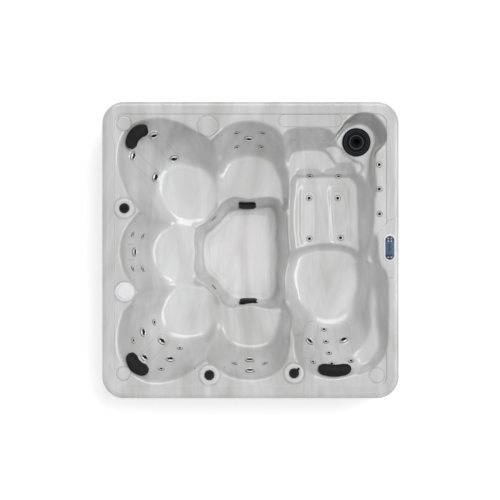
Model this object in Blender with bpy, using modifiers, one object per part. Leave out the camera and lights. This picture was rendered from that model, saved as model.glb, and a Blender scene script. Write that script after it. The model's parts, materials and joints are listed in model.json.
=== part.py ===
"""A square acrylic hot tub with five seats, a lounger and a corner filter, built in Blender.

Metres, +Z up. The photograph looks straight down: its right is +X and its top is +Y.
"""
import math

import bmesh
import bpy
from mathutils import Matrix, Vector

# Overall sizes
TUB_WIDTH = 2.100
TUB_HEIGHT = 0.900
CORNER_RADIUS = 0.155
SHELL_WALL = 0.012
FIT = 0.0003
OVERRUN = 0.060

# Rim and deck
RIM_RISE = 0.010
RIM_ROLL = 0.024
SKIRT_DROP = 0.060
PAD_RISE = 0.003

# Heights of the hollows' floors above the ground
FOOTWELL_FLOOR = 0.130
CORNER_SEAT = 0.440
TOP_SEAT = 0.470
SIDE_SEAT = 0.460
LOUNGE_SEAT = 0.450
LEG_TRAY = 0.535
PLATFORM = 0.700
LEDGE_DROP = 0.040
FOOT_STEP_DROP = 0.080
ARM_DEPTH = 0.150
CALF_TROUGH = 0.018
CALF_LIP = 0.009
SEAT_DISH = 0.010
FOOTWELL_BROW = 0.060

# Cabinet, frame and base
PANEL_GAP = 0.004
PANEL_THICK = 0.016
PANEL_TUCK = 0.008
BOARD_GROOVE = 0.006
BOARD_COUNT = 6
RAIL_HEIGHT = 0.060
POST_THICK = 0.025
POST_WIDTH = 0.060
BASE_FLOOR = 0.012
BASE_UPSTAND = 0.060
PEDESTAL_SIZE = 0.300
TRIM_LAP = 0.0005

# Jets
JET_FLANGE_THICK = 0.008
JET_BARREL_LENGTH = 0.055
JET_NOZZLE_DEPTH = 0.012
JET_SEAT_DEPTH = 0.0045
SMALL_JET_RISE = 0.004

# Deck valves and cap
PLATE_THICK = 0.006
VALVE_BODY_LENGTH = 0.110
KNOB_HEIGHT = 0.026
KNOB_STEM_RADIUS = 0.010
KNOB_STEM_LENGTH = 0.040
KNOB_GRIP_RADIUS = 0.006
POINTER_LENGTH = 0.016
POINTER_WIDTH = 0.010
CAP_HEIGHT = 0.009
CAP_SPIGOT_LENGTH = 0.018
CAP_DIMPLE = 0.003

# Filter
FILTER_LID_THICK = 0.014
FILTER_LID_LAP = 0.017
FILTER_RIB = 0.004
HOUSING_WALL = 0.004
HOUSING_DEPTH = 0.300
HOUSING_FLANGE = 0.005
CARTRIDGE_GAP = 0.010
CARTRIDGE_CORE_RADIUS = 0.026
CARTRIDGE_LENGTH = 0.250
CARTRIDGE_CAP = 0.012
PLEAT_DEPTH = 0.012
PLEAT_COUNT = 14

# Control panel
BEZEL_THICK = 0.010
BEZEL_RIM = 0.014
SCREEN_THICK = 0.004
SCREEN_PROUD = 0.001
KEY_RADIUS = 0.006
KEY_PROUD = 0.0015
KEY_TRAVEL = 0.001
KEY_GAP = 0.0005
KEY_PITCH = 0.022
KEY_END_GAP = 0.020
KEY_ROW_PITCH = 0.018
PANEL_BOX_DEPTH = 0.036

# Suction covers
SUCTION_WIDTH = 0.120
SUCTION_LENGTH = 0.170
SUCTION_THICK = 0.018
SUCTION_SINK = 0.006
SUCTION_BARREL_RADIUS = 0.030
SUCTION_BARREL_LENGTH = 0.045
SUCTION_SLOTS = 7
SUCTION_SLOT_WIDTH = 0.008
SUCTION_SLOT_DEPTH = 0.009
SUCTION_PAD = 0.024

# Pillows
PILLOW_THICK = 0.031
PILLOW_SINK = 0.004
PILLOW_CROWN = 0.010
PILLOW_HALF_WIDTH = 0.037

# Pumps, heater and control box
MOTOR_RADIUS = 0.082
MOTOR_LENGTH = 0.240
VOLUTE_RADIUS = 0.098
VOLUTE_LENGTH = 0.085
PUMP_AXIS_HEIGHT = 0.135
PUMP_FOOT_WIDTH = 0.150
PUMP_FOOT_LENGTH = 0.180
PORT_RADIUS = 0.030
PORT_LENGTH = 0.050
HEATER_RADIUS = 0.032
HEATER_NUT_RADIUS = 0.045
HEATER_NUT_LENGTH = 0.030
HEATER_LENGTH = 0.340
HEATER_AXIS_HEIGHT = 0.080
CONTROL_WIDTH = 0.300
CONTROL_LENGTH = 0.220
CONTROL_HEIGHT = 0.130
CONTROL_LID = 0.014
PIPE_RADIUS = 0.024

# Where the hidden equipment stands, as shares of the tub's width from its middle
PUMP_PLACE_SHARES = {"jet_pump_1": (0.238, -0.143), "jet_pump_2": (0.238, 0.090)}
HEATER_PLACE_SHARES = (0.295, 0.200)
CONTROL_PLACE_SHARES = (0.333, -0.314)
PIPE_BEND_SHARES = {
    "suction_pipe_1": [(0.062, -0.238, 0.067), (0.129, -0.176, 0.064)],
    "suction_pipe_2": [(0.052, 0.217, 0.067), (0.133, 0.157, 0.064)],
    "heater_pipe": [(0.190, 0.143, 0.157), (0.157, 0.200, 0.095)]}

# The photograph's frame: the rim spans this many pixels of a 500 pixel picture
RIM_SPAN_PX = 297.0
CENTRE_X_PX = 250.5
CENTRE_Y_PX = 250.0
METRES_PER_PX = TUB_WIDTH / RIM_SPAN_PX

# Sizes read off the photograph, in its pixels
RIM_BAND_PX = 12.2
PAD_RADIUS_PX = 11.0
PLATE_RADIUS_PX = 9.3
CAP_RADIUS_PX = 7.8
KNOB_RADIUS_PX = 5.2
JET_RADIUS_PX = 4.6
SMALL_JET_RADIUS_PX = 3.0
FILTER_LID_RADIUS_PX = 14.3
FILTER_HOLE_RADIUS_PX = 5.4
BEZEL_WIDTH_PX = 13.0
BEZEL_LENGTH_PX = 28.3

# The same sizes in metres, and what is made to suit them
RIM_BAND = RIM_BAND_PX * METRES_PER_PX
PAD_RADIUS = PAD_RADIUS_PX * METRES_PER_PX
PLATE_RADIUS = PLATE_RADIUS_PX * METRES_PER_PX
CAP_RADIUS = CAP_RADIUS_PX * METRES_PER_PX
CAP_SPIGOT_RADIUS = CAP_RADIUS * 0.72
KNOB_RADIUS = KNOB_RADIUS_PX * METRES_PER_PX
VALVE_BODY_RADIUS = KNOB_RADIUS * 0.86
JET_FLANGE_RADIUS = JET_RADIUS_PX * METRES_PER_PX
JET_BARREL_RADIUS = JET_FLANGE_RADIUS * 0.7
JET_NOZZLE_RADIUS = JET_FLANGE_RADIUS * 0.38
SMALL_JET_RADIUS = SMALL_JET_RADIUS_PX * METRES_PER_PX
FILTER_LID_RADIUS = FILTER_LID_RADIUS_PX * METRES_PER_PX
FILTER_HOLE_RADIUS = FILTER_HOLE_RADIUS_PX * METRES_PER_PX
FILTER_BORE_RADIUS = FILTER_LID_RADIUS - FILTER_LID_LAP
CARTRIDGE_RADIUS = FILTER_BORE_RADIUS - CARTRIDGE_GAP
BEZEL_WIDTH = BEZEL_WIDTH_PX * METRES_PER_PX
BEZEL_LENGTH = BEZEL_LENGTH_PX * METRES_PER_PX
SCREEN_WIDTH = BEZEL_WIDTH - BEZEL_RIM * 2
SCREEN_LENGTH = BEZEL_LENGTH - BEZEL_RIM * 2
KEY_ROW_OFFSET = SCREEN_LENGTH / 2 - KEY_END_GAP
PANEL_BOX_WIDTH = BEZEL_WIDTH * 0.52
PANEL_BOX_LENGTH = BEZEL_LENGTH * 0.82

# Worked out from the sizes above
HALF = TUB_WIDTH / 2
RIM_TOP = TUB_HEIGHT
DECK = RIM_TOP - RIM_RISE
DECK_UNDER = DECK - SHELL_WALL
SKIRT_FOOT = RIM_TOP - SKIRT_DROP
LEDGE = PLATFORM - LEDGE_DROP
FOOT_STEP = PLATFORM - FOOT_STEP_DROP
ARM_LEDGE = DECK - ARM_DEPTH
FOOTWELL_TOP = CORNER_SEAT + FOOTWELL_BROW
CORNER_CENTRE = HALF - CORNER_RADIUS
SKIRT_INSIDE = HALF - SHELL_WALL
PANEL_FACE = SKIRT_INSIDE - PANEL_GAP
PANEL_BACK = PANEL_FACE - PANEL_THICK
RAIL_FACE = PANEL_BACK - PANEL_GAP / 8
RAIL_TOP = DECK_UNDER - FIT
RAIL_UNDER = RAIL_TOP - RAIL_HEIGHT
RAIL_WIDTH = TUB_WIDTH * 0.0084

# Points closer than this are joined when a swept or filled curve is closed
WELD = 0.00001

# Faceting
RING_SIDES = 22
FINE_SIDES = {"footwell": 34, "lounge": 36}
CORNER_STEPS = 6
ROUND_STEPS = 16
JET_STEPS = 10
SMALL_JET_SIDES = 6
KEY_STEPS = 8
END_STEPS = 5

# Basins: outlines as photograph pixels, hand picked, each read as a radius about its centre
CORNER_TL_PX = dict(
    centre=(190, 196), spans=(26, 26),
    pan=[(163, 189), (167, 182), (173, 176), (181, 171.5), (190, 169.5), (202, 171), (210, 178),
         (213, 190), (211, 206), (200, 219), (186, 220), (172, 214), (164, 203)],
    rim=[(125.5, 189.3), (118.5, 170.2), (117.2, 154.2), (119.5, 140), (127, 127), (141, 119.8),
         (160.6, 117.5), (179.7, 122.3), (196, 131.5), (213, 142), (232, 160), (238, 185),
         (232, 215), (215, 238), (188, 246), (160, 236), (140, 212)])
SEAT_TOP_PX = dict(
    centre=(252, 188), spans=(29, 28),
    pan=[(224, 176), (229, 166), (238.3, 161.2), (251, 160.3), (264, 161.9), (274, 167), (281, 178),
         (284, 195), (278, 212), (252, 218), (228, 212), (220, 195)],
    rim=[(206, 146), (219, 133), (225.5, 126.8), (235, 122.3), (251, 120.5), (264, 123),
         (275.3, 128.7), (283, 135.7), (289.3, 144.6), (292.5, 163.8), (296, 190), (290, 225),
         (252, 240), (212, 228), (197, 200), (196, 172)])
SEAT_LEFT_PX = dict(
    centre=(182, 253.5), spans=(27, 24),
    pan=[(166.6, 230), (159, 238), (155.3, 247), (155.1, 256), (158.1, 266.5), (165, 277),
         (180, 279), (197, 273), (208, 262), (209, 248), (200, 235), (182, 228)],
    rim=[(137, 214), (129.1, 223.7), (123.7, 232.8), (120.7, 243.6), (119.9, 253.5),
         (121.4, 262.7), (125.2, 273.4), (131, 283), (145, 299), (170, 308), (202, 302),
         (226, 278), (231, 250), (222, 222), (200, 205), (170, 199), (150, 204)])
CORNER_BL_PX = dict(
    centre=(190, 311), spans=(26, 25),
    pan=[(165, 311.5), (170.2, 321), (179.7, 330), (192, 335.5), (204, 334), (212, 323),
         (214, 308), (208, 293), (194, 287), (178, 289), (168, 298)],
    rim=[(131, 303), (123, 313), (118.4, 328.7), (117.5, 345), (120, 359), (128, 371),
         (141, 380), (157, 382.5), (175.5, 379.5), (193, 369.5), (207, 360), (226, 346),
         (238, 325), (236, 295), (222, 272), (192, 262), (160, 268), (141, 288)])
SEAT_BOTTOM_PX = dict(
    centre=(252, 318), spans=(29, 26),
    pan=[(223, 326), (227, 336), (235.1, 343), (245, 345), (256, 345.3), (267, 343.4),
         (276, 337), (281, 325), (281, 308), (272, 294), (252, 289), (232, 293), (222, 308)],
    rim=[(207, 362), (219, 369), (225.5, 374), (238.3, 378.8), (251, 380), (263.8, 378.4),
         (276.5, 372.7), (284, 365), (288.5, 350), (289.5, 330), (292, 300), (280, 275),
         (252, 266), (216, 276), (199, 300), (197, 335)])
LEG_TRAY_PX = dict(
    centre=(327, 215), spans=(30, 38),
    pan=[(299, 178.5), (306, 177), (313, 177), (320, 177), (328, 177), (336, 177), (343, 177.5),
         (349, 179.5), (353, 190), (356, 205), (358, 220), (359, 235), (359, 252), (352, 258),
         (328, 260), (303, 260), (298, 250), (297, 232), (296.5, 215), (297, 197)],
    rim=[(250, 200), (262, 174), (285, 162), (300, 160.5), (320, 160), (340, 160.5), (355, 163),
         (367, 170), (372.5, 182), (374, 200), (374, 216), (372, 235), (372, 255), (370, 285),
         (330, 292), (290, 290), (258, 262), (248, 232)])
LOUNGE_PX = dict(
    centre=(328, 286), spans=(30, 29),
    pan=[(299, 268), (298, 290), (300, 303), (310.6, 311), (323.6, 313.7), (337.4, 312.2),
         (349, 306.5), (357, 294), (359, 275), (356, 262), (345, 255), (328, 254), (312, 255),
         (303, 259)],
    rim=[(262, 262), (272, 295), (288, 318), (294.5, 338), (296, 356), (303, 369), (317, 377),
         (334, 379.5), (352, 376), (362, 371), (372, 362.5), (378.8, 347.6), (379.4, 334),
         (376, 322), (373.5, 309), (372.8, 295), (375, 272), (371.5, 260), (369.6, 236),
         (345, 222), (312, 222), (284, 232)])
ARM_PX = dict(
    centre=(366, 310), spans=(14, 44),
    pan=[(371.5, 262), (376.6, 271.6), (374.4, 284), (374.0, 295), (374.8, 309), (377.2, 321),
         (380.6, 334), (380, 348), (374.5, 360), (367, 367), (358, 366), (352, 340), (351, 310),
         (352, 280), (357, 262), (364, 257)],
    rim=[(374, 232), (377.5, 240), (378, 255), (380, 264), (383, 267.5), (386.4, 273.8),
         (387.5, 279.2), (388.2, 300), (388.2, 322.6), (387.6, 340), (386, 351), (382, 359),
         (375.5, 366), (366, 371.5), (356, 373), (346, 345), (345, 310), (346, 275), (352, 252),
         (362, 238)])
FOOT_STEP_PX = dict(
    centre=(311, 168), spans=(20, 14),
    pan=[(290.5, 157), (294, 152.5), (302, 151.5), (312, 151.2), (321, 151.5), (326, 153),
         (330, 158), (334, 163), (339, 169), (344, 178), (340, 190), (311, 190), (290, 185),
         (289.5, 170)],
    rim=[(278, 150), (281, 137), (288, 129.5), (296, 127.5), (304, 127), (312, 127), (320, 127),
         (328, 128.5), (334, 134), (341, 144), (350, 157), (358, 172), (362, 190), (330, 215),
         (300, 215), (272, 200), (273, 170)])
LEDGE_PX = dict(
    centre=(340, 168), spans=(20, 16),
    pan=[(328, 147), (334, 145.5), (340.4, 149), (345, 156), (352.7, 161.3), (361.1, 163.3),
         (366, 168), (367, 180), (340, 190), (316, 180), (314, 160), (321, 149)],
    rim=[(327, 137), (340, 134.5), (352, 141), (361, 149), (371, 154), (374.5, 163),
         (374.5, 200), (340, 212), (300, 195), (296, 150), (312, 136)])
FILTER_WELL_PX = dict(
    centre=(357, 143), spans=(18, 18),
    pan=[(336, 143), (339, 136), (345, 129), (355.9, 125.3), (366, 127), (373, 134), (374, 145),
         (371.5, 156), (369, 168), (360, 180), (345, 178), (334, 160)],
    rim=[(330, 144), (334, 140), (341.2, 129.1), (346.6, 120.7), (355, 114.5), (364.2, 112.4),
         (374.1, 114.5), (381.8, 120.7), (386.2, 130.6), (386, 141.3), (381.8, 147.4),
         (375.6, 152.8), (374.5, 168), (372, 205), (340, 215), (316, 180)])
FOOTWELL_PX = dict(
    centre=(243, 252), spans=(37, 48),
    pan=[(229.8, 211.6), (245, 209), (262, 207.5), (273, 207.5), (276, 215), (276.5, 240),
         (276.8, 270), (276, 291), (270, 298.6), (250, 298.6), (233, 298.4), (225, 291),
         (217.3, 282), (206, 271), (203.5, 262), (203.5, 243), (206, 235), (214, 228),
         (222, 220)],
    rim=[(226.5, 198.5), (231.4, 196.4), (247.2, 198.4), (260, 197), (270, 196.2), (280, 200),
         (284.5, 212), (286.2, 240), (285, 273), (283, 298), (281.2, 309), (272.1, 310.2),
         (259.6, 307.7), (248.8, 306.1), (238.9, 307.3), (230.6, 309), (225.6, 306.5),
         (216.5, 295.3), (207.4, 286.2), (196, 277), (192.9, 269.6), (194.6, 252.2),
         (192.9, 236.4), (194.6, 229.3), (204.1, 221.5), (213.2, 213.2), (220.7, 204.1)])

# Fillet and brow are shares of a wall's run, at its foot and at its top
SEAT_FILLET_SHARE = 0.30
SEAT_BROW_SHARE = 0.10
STEP_FILLET_SHARE = 0.08
WELL_FILLET_SHARE = 0.20

# Each basin: outline, height of its floor and of its wall's top, dish and fillet share
BASINS = {
    "corner_tl": (CORNER_TL_PX, CORNER_SEAT, DECK, SEAT_DISH, SEAT_FILLET_SHARE),
    "seat_top": (SEAT_TOP_PX, TOP_SEAT, DECK, SEAT_DISH, SEAT_FILLET_SHARE),
    "seat_left": (SEAT_LEFT_PX, SIDE_SEAT, DECK, SEAT_DISH, SEAT_FILLET_SHARE),
    "corner_bl": (CORNER_BL_PX, CORNER_SEAT, DECK, SEAT_DISH, SEAT_FILLET_SHARE),
    "seat_bottom": (SEAT_BOTTOM_PX, SIDE_SEAT, DECK, SEAT_DISH, SEAT_FILLET_SHARE),
    "leg_tray": (LEG_TRAY_PX, LEG_TRAY, DECK, SEAT_DISH, STEP_FILLET_SHARE),
    "lounge": (LOUNGE_PX, LOUNGE_SEAT, DECK, SEAT_DISH, SEAT_FILLET_SHARE),
    "arm": (ARM_PX, ARM_LEDGE, DECK, 0.0, WELL_FILLET_SHARE),
    "foot_step": (FOOT_STEP_PX, FOOT_STEP, DECK, SEAT_DISH, STEP_FILLET_SHARE),
    "ledge": (LEDGE_PX, LEDGE, DECK, SEAT_DISH, STEP_FILLET_SHARE),
    "filter_well": (FILTER_WELL_PX, PLATFORM, DECK, 0.0, WELL_FILLET_SHARE),
    "footwell": (FOOTWELL_PX, FOOTWELL_FLOOR, FOOTWELL_TOP, SEAT_DISH, WELL_FILLET_SHARE),
}

# Calf troughs of the lounger: centre and half spans, photograph pixels
CALF_TROUGHS_PX = {"calf_left": ((309, 215), (10.5, 34)), "calf_right": ((340, 215), (12, 34))}
TROUGH_POWER = 6
TROUGH_PAN_SHARE = 0.8

# Where the fittings sit, photograph pixels
LARGE_JETS_PX = {
    "jet_tl_1": (153.6, 135.1), "jet_tl_2": (133.2, 155.5), "jet_tl_3": (173.3, 158.0),
    "jet_tl_4": (154.8, 176.5), "jet_top": (248.8, 138.3), "jet_left": (134.4, 252.1),
    "jet_bl_1": (142.7, 332.5), "jet_bl_2": (161.2, 341.5), "jet_bl_3": (144.3, 357.7),
    "jet_bl_4": (169.8, 359.3), "jet_bottom_1": (249.6, 360.3), "jet_bottom_2": (249.9, 370.5),
    "jet_lounge_1": (310.2, 341.3), "jet_lounge_2": (344.3, 340.1)}
SMALL_JETS_PX = [
    (236.7, 132.8), (262.5, 132.8), (236.7, 146.2), (261.5, 146.2),
    (132.5, 234.4), (142.3, 236.3), (132.5, 268.8), (142.3, 269.2),
    (153.3, 323.0), (132.8, 340.8), (179.1, 349.1), (160.9, 369.2),
    (234.4, 363.8), (265.1, 363.8),
    (324.6, 330.2), (326.5, 342.3), (329.3, 353.5), (313.1, 362.1), (351.5, 361.2),
    (331.9, 364.0), (310.2, 175.4), (339.3, 175.4),
    (309.7, 197.7), (338.5, 197.7), (310.0, 238.6), (341.4, 237.7),
    (213.6, 218.0), (213.6, 287.2), (379.2, 164.6), (379.3, 189.0), (379.6, 213.9)]
AIR_KNOB_LEFT_PX = (124.3, 208.2)
AIR_KNOB_BOTTOM_PX = (209.4, 375.1)
DIVERTER_PX = (294.1, 373.3)
CAP_PX = (124.6, 291.8)
BLANK_PADS_PX = [(208.0, 125.8)]
FILTER_PX = (356.9, 141.7)
PANEL_PX = (389.8, 247.9)
PANEL_BOSS_PX = [(394, 219), (388.1, 220), (385.3, 224.6), (377.2, 234.4), (376.4, 243),
                 (376.6, 259), (378.9, 264.2), (384.1, 269.9), (387.6, 277.4), (394, 278)]
SUCTIONS_PX = {"suction_cover_top": (247.2, 204.8), "suction_cover_bottom": (248.4, 301.8)}
PILLOWS_PX = {
    "pillow_tl": [(128.8, 148.5), (130.2, 138.5), (138.0, 129.3), (147.8, 127.3)],
    "pillow_bl": [(128.8, 353.0), (131.5, 363.0), (138.5, 370.5), (148.5, 372.8)],
    "pillow_lounge": [(317.6, 369.0), (328.4, 371.0), (340.6, 371.0), (351.4, 369.0)]}

# Wall shares at which a basin's rings are drawn, past the fillet and the brow
FILLET_RING_SHARES = (0.0, 0.45, 1.0)
BROW_RING_SHARES = (1.0, 0.4, 0.0)
DISH_RING_SHARE = 0.55


def clear_scene():
    """Remove whatever the open file holds."""
    for item in list(bpy.data.objects):
        bpy.data.objects.remove(item, do_unlink=True)


def new_collection(name):
    """A collection linked to the scene."""
    group = bpy.data.collections.new(name)
    bpy.context.scene.collection.children.link(group)
    return group


clear_scene()
PARTS = new_collection("hot_tub")
CUTTERS = new_collection("cutters")


def material(name, colour, roughness, metallic=0.0):
    """A plain finish for one sub-part."""
    finish = bpy.data.materials.new(name)
    finish.use_nodes = True
    shader = finish.node_tree.nodes["Principled BSDF"]
    shader.inputs["Base Color"].default_value = (*colour, 1.0)
    shader.inputs["Roughness"].default_value = roughness
    shader.inputs["Metallic"].default_value = metallic
    finish.diffuse_color = (*colour, 1.0)
    return finish


ACRYLIC = material("pearl_acrylic", (0.72, 0.72, 0.73), 0.12)
CABINET = material("composite_board", (0.20, 0.21, 0.22), 0.60)
TRIM = material("corner_trim_board", (0.12, 0.125, 0.13), 0.55)
BASE = material("base_abs", (0.03, 0.03, 0.032), 0.65)
TIMBER = material("treated_timber", (0.45, 0.36, 0.22), 0.80)
FOAM = material("pillow_foam", (0.018, 0.018, 0.019), 0.75)
BLACK = material("black_plastic", (0.012, 0.012, 0.013), 0.45)
WHITE = material("white_plastic", (0.78, 0.78, 0.80), 0.25)
STEEL = material("jet_steel", (0.62, 0.62, 0.63), 0.18, 1.0)
PAPER = material("filter_paper", (0.82, 0.84, 0.86), 0.90)
HOUSING = material("housing_abs", (0.35, 0.36, 0.37), 0.55)
SCREEN = material("screen_blue", (0.03, 0.10, 0.24), 0.10)
KEY = material("key_pale", (0.55, 0.65, 0.75), 0.35)
MOTOR = material("pump_paint", (0.05, 0.05, 0.055), 0.50)
PVC = material("white_pvc", (0.75, 0.75, 0.74), 0.40)


def place(px):
    """World X and Y of a photograph pixel."""
    return Vector(((px[0] - CENTRE_X_PX) * METRES_PER_PX, (CENTRE_Y_PX - px[1]) * METRES_PER_PX))


def radius_curve(points, centre, spans):
    """A smooth closed radius about a centre, through hand picked points, in spans."""
    polar = []
    for point in points:
        across = (point[0] - centre[0]) / spans[0]
        up = (centre[1] - point[1]) / spans[1]
        polar.append((math.atan2(up, across) % math.tau, math.hypot(across, up)))
    polar.sort()
    angles = [polar[k][0] - math.tau for k in (-2, -1)] + [p[0] for p in polar]
    angles += [polar[k][0] + math.tau for k in (0, 1)]
    radii = [polar[-2][1], polar[-1][1]] + [p[1] for p in polar] + [polar[0][1], polar[1][1]]
    steps = [b - a for a, b in zip(angles, angles[1:])]
    rises = [(b - a) / s for a, b, s in zip(radii, radii[1:], steps)]
    slopes = [0.0] * len(radii)
    for k in range(1, len(radii) - 1):
        if rises[k - 1] * rises[k] > 0:
            before = 2 * steps[k] + steps[k - 1]
            after = steps[k] + 2 * steps[k - 1]
            slopes[k] = (before + after) / (before / rises[k - 1] + after / rises[k])

    def radius(angle):
        angle %= math.tau
        k = 0
        while k < len(steps) - 1 and angles[k + 1] <= angle:
            k += 1
        u = (angle - angles[k]) / steps[k]
        start = (2 * u ** 3 - 3 * u ** 2 + 1) * radii[k]
        leave = (u ** 3 - 2 * u ** 2 + u) * steps[k] * slopes[k]
        end = (3 * u ** 2 - 2 * u ** 3) * radii[k + 1]
        arrive = (u ** 3 - u ** 2) * steps[k] * slopes[k + 1]
        return start + leave + end + arrive

    return radius


def box_curve(power):
    """A rounded square in spans, as a radius of the angle."""
    def radius(angle):
        across = abs(math.cos(angle)) ** power
        up = abs(math.sin(angle)) ** power
        return (across + up) ** (-1 / power)
    return radius


def wall_rise(share, fillet, brow):
    """Rise of a wall at a share of its run: a fillet, a straight slope and a rounded brow."""
    slope = 1 / (1 - (fillet + brow) / 2)
    if share < fillet:
        return slope * share ** 2 / (2 * fillet)
    if share < 1 - brow:
        return slope * (share - fillet / 2)
    return 1 - slope * (1 - share) ** 2 / (2 * brow)


class Basin:
    """One hollow of the shell: a floor outline, a rim outline and the wall between them."""

    def __init__(self, centre, spans, pan, rim, floor, rise, fillet, dish):
        self.centre = place(centre)
        self.spans = Vector(spans) * METRES_PER_PX
        self.pan = pan
        self.rim = rim
        self.floor = floor
        self.rise = rise
        self.fillet = fillet
        self.dish = dish

    def point(self, angle, radius, grow=0.0):
        """World X and Y at an angle and a radius in spans, moved out by grow."""
        across = math.cos(angle) * (radius * self.spans.x + grow)
        up = math.sin(angle) * (radius * self.spans.y + grow)
        return self.centre.x + across, self.centre.y + up

    def ring(self, share, sides, height, grow=0.0):
        """A closed ring of points at a share of the wall's run."""
        points = []
        for k in range(sides):
            angle = math.tau * k / sides
            inner = self.pan(angle)
            radius = inner * (1 + share) if share < 0 else inner + share * (self.rim(angle) - inner)
            points.append((*self.point(angle, radius, grow), height))
        return points

    def height(self, x, y):
        """Height of this basin's surface at a place, or None outside its rim."""
        across = (x - self.centre.x) / self.spans.x
        up = (y - self.centre.y) / self.spans.y
        angle = math.atan2(up, across)
        radius = math.hypot(across, up)
        inner = self.pan(angle)
        share = (radius - inner) / (self.rim(angle) - inner)
        if share >= 1:
            return None
        if share <= 0:
            return self.floor - self.dish * (1 - (radius / inner) ** 2)
        return self.floor + self.rise * wall_rise(share, self.fillet, SEAT_BROW_SHARE)


def make_basins():
    """All the hollows of the shell, from the tables."""
    basins = {}
    for name, (outline, floor, top, dish, fillet) in BASINS.items():
        pan = radius_curve(outline["pan"], outline["centre"], outline["spans"])
        rim = radius_curve(outline["rim"], outline["centre"], outline["spans"])
        basins[name] = Basin(outline["centre"], outline["spans"], pan, rim, floor, top - floor,
                             fillet, dish)
    trough = box_curve(TROUGH_POWER)
    for name, (centre, spans) in CALF_TROUGHS_PX.items():
        basins[name] = Basin(centre, spans, lambda angle: trough(angle) * TROUGH_PAN_SHARE,
                             trough, LEG_TRAY - CALF_TROUGH, CALF_TROUGH + CALF_LIP,
                             SEAT_FILLET_SHARE, 0.0)
    return basins


SHELL_BASINS = make_basins()


def surface_height(x, y):
    """Height of the shell's inner surface at a place."""
    heights = [basin.height(x, y) for basin in SHELL_BASINS.values()]
    return min([DECK] + [h for h in heights if h is not None])


def surface_frame(px, reach, sink):
    """A frame whose Z leaves the shell's surface, sunk a little below it."""
    middle = place(px)
    samples = []
    for k in range(8):
        angle = math.tau * k / 8
        x = middle.x + reach * math.cos(angle)
        y = middle.y + reach * math.sin(angle)
        samples.append(Vector((x, y, surface_height(x, y))))
    normal = Vector((0.0, 0.0, 0.0))
    for k, sample in enumerate(samples):
        normal += sample.cross(samples[(k + 1) % 8])
    normal.normalize()
    centre = Vector((middle.x, middle.y, surface_height(middle.x, middle.y)))
    lowest = min((sample - centre).dot(normal) for sample in samples)
    origin = centre + normal * (min(lowest, 0.0) - sink)
    side = Vector((0.0, 0.0, 1.0)).cross(normal)
    if side.length < FIT:
        side = Vector((1.0, 0.0, 0.0))
    side.normalize()
    rise = normal.cross(side)
    frame = Matrix((side, rise, normal)).transposed().to_4x4()
    frame.translation = origin
    return frame


def new_object(name, mesh, finish=None, group=None):
    """A named object in its collection."""
    item = bpy.data.objects.new(name, mesh)
    (group or PARTS).objects.link(item)
    if finish:
        mesh.materials.append(finish)
    return item


def as_cutter(item):
    """Mark an object as a tool."""
    item.hide_render = True
    item.display_type = "WIRE"
    return item


def mesh_from(bm, name):
    """A mesh with outward faces from a bmesh."""
    bmesh.ops.recalc_face_normals(bm, faces=bm.faces)
    mesh = bpy.data.meshes.new(name)
    bm.to_mesh(mesh)
    bm.free()
    return mesh


def evaluated_mesh(item):
    """A plain copy of an object's mesh with its modifiers, in its own frame."""
    bpy.context.view_layer.update()
    graph = bpy.context.evaluated_depsgraph_get()
    return bpy.data.meshes.new_from_object(item.evaluated_get(graph), depsgraph=graph)


def loft(name, rings, closed=False):
    """A skin through rings of equal counts, capped at both ends or joined end to end."""
    bm = bmesh.new()
    rows = [[bm.verts.new(point) for point in ring] for ring in rings]
    sides = len(rows[0])
    pairs = list(zip(rows, rows[1:]))
    if closed:
        pairs.append((rows[-1], rows[0]))
    for low, high in pairs:
        for k in range(sides):
            after = (k + 1) % sides
            bm.faces.new((low[k], low[after], high[after], high[k]))
    if not closed:
        bm.faces.new(list(reversed(rows[0])))
        bm.faces.new(rows[-1])
    bmesh.ops.triangulate(bm, faces=bm.faces)
    return mesh_from(bm, name)


def turned(name, profile, steps, closed=False):
    """A mesh turned about Z from a profile of radius and height, top to bottom."""
    mesh = bpy.data.meshes.new(name + "_profile")
    count = len(profile)
    edges = [(k, k + 1) for k in range(count - 1)]
    if closed:
        edges.append((count - 1, 0))
    mesh.from_pydata([(radius, 0.0, height) for radius, height in profile], edges, [])
    item = new_object(name + "_profile", mesh, group=CUTTERS)
    screw = item.modifiers.new("turn", "SCREW")
    screw.axis = "Z"
    screw.angle = math.tau
    screw.steps = steps
    screw.render_steps = steps
    screw.use_merge_vertices = True
    screw.merge_threshold = WELD
    result = evaluated_mesh(item)
    result.name = name
    bpy.data.objects.remove(item, do_unlink=True)
    return result


def add_bevel(item, width, segments=2, angle=math.radians(40)):
    """Round the edges of an object."""
    bevel = item.modifiers.new("edges", "BEVEL")
    bevel.width = width
    bevel.segments = segments
    bevel.limit_method = "ANGLE"
    bevel.angle_limit = angle
    return item


def add_boolean(item, tool, operation):
    """Join a tool to an object or cut it out."""
    step = item.modifiers.new(tool.name, "BOOLEAN")
    step.operation = operation
    step.solver = "EXACT"
    step.object = tool
    return item


def box_mesh(name, size, centre=(0.0, 0.0, 0.0)):
    """A box of a given size about a centre."""
    bm = bmesh.new()
    bmesh.ops.create_cube(bm, size=1.0)
    bmesh.ops.scale(bm, vec=Vector(size), verts=bm.verts)
    bmesh.ops.translate(bm, vec=Vector(centre), verts=bm.verts)
    return mesh_from(bm, name)


def rod_mesh(name, radius, low, high, sides, tilt=None):
    """A cylinder along Z between two heights, or turned by a matrix."""
    bm = bmesh.new()
    bmesh.ops.create_cone(bm, cap_ends=True, segments=sides, radius1=radius, radius2=radius,
                          depth=high - low)
    bmesh.ops.translate(bm, vec=Vector((0.0, 0.0, (low + high) / 2)), verts=bm.verts)
    if tilt:
        bmesh.ops.transform(bm, matrix=tilt, verts=bm.verts)
    return mesh_from(bm, name)


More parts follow.
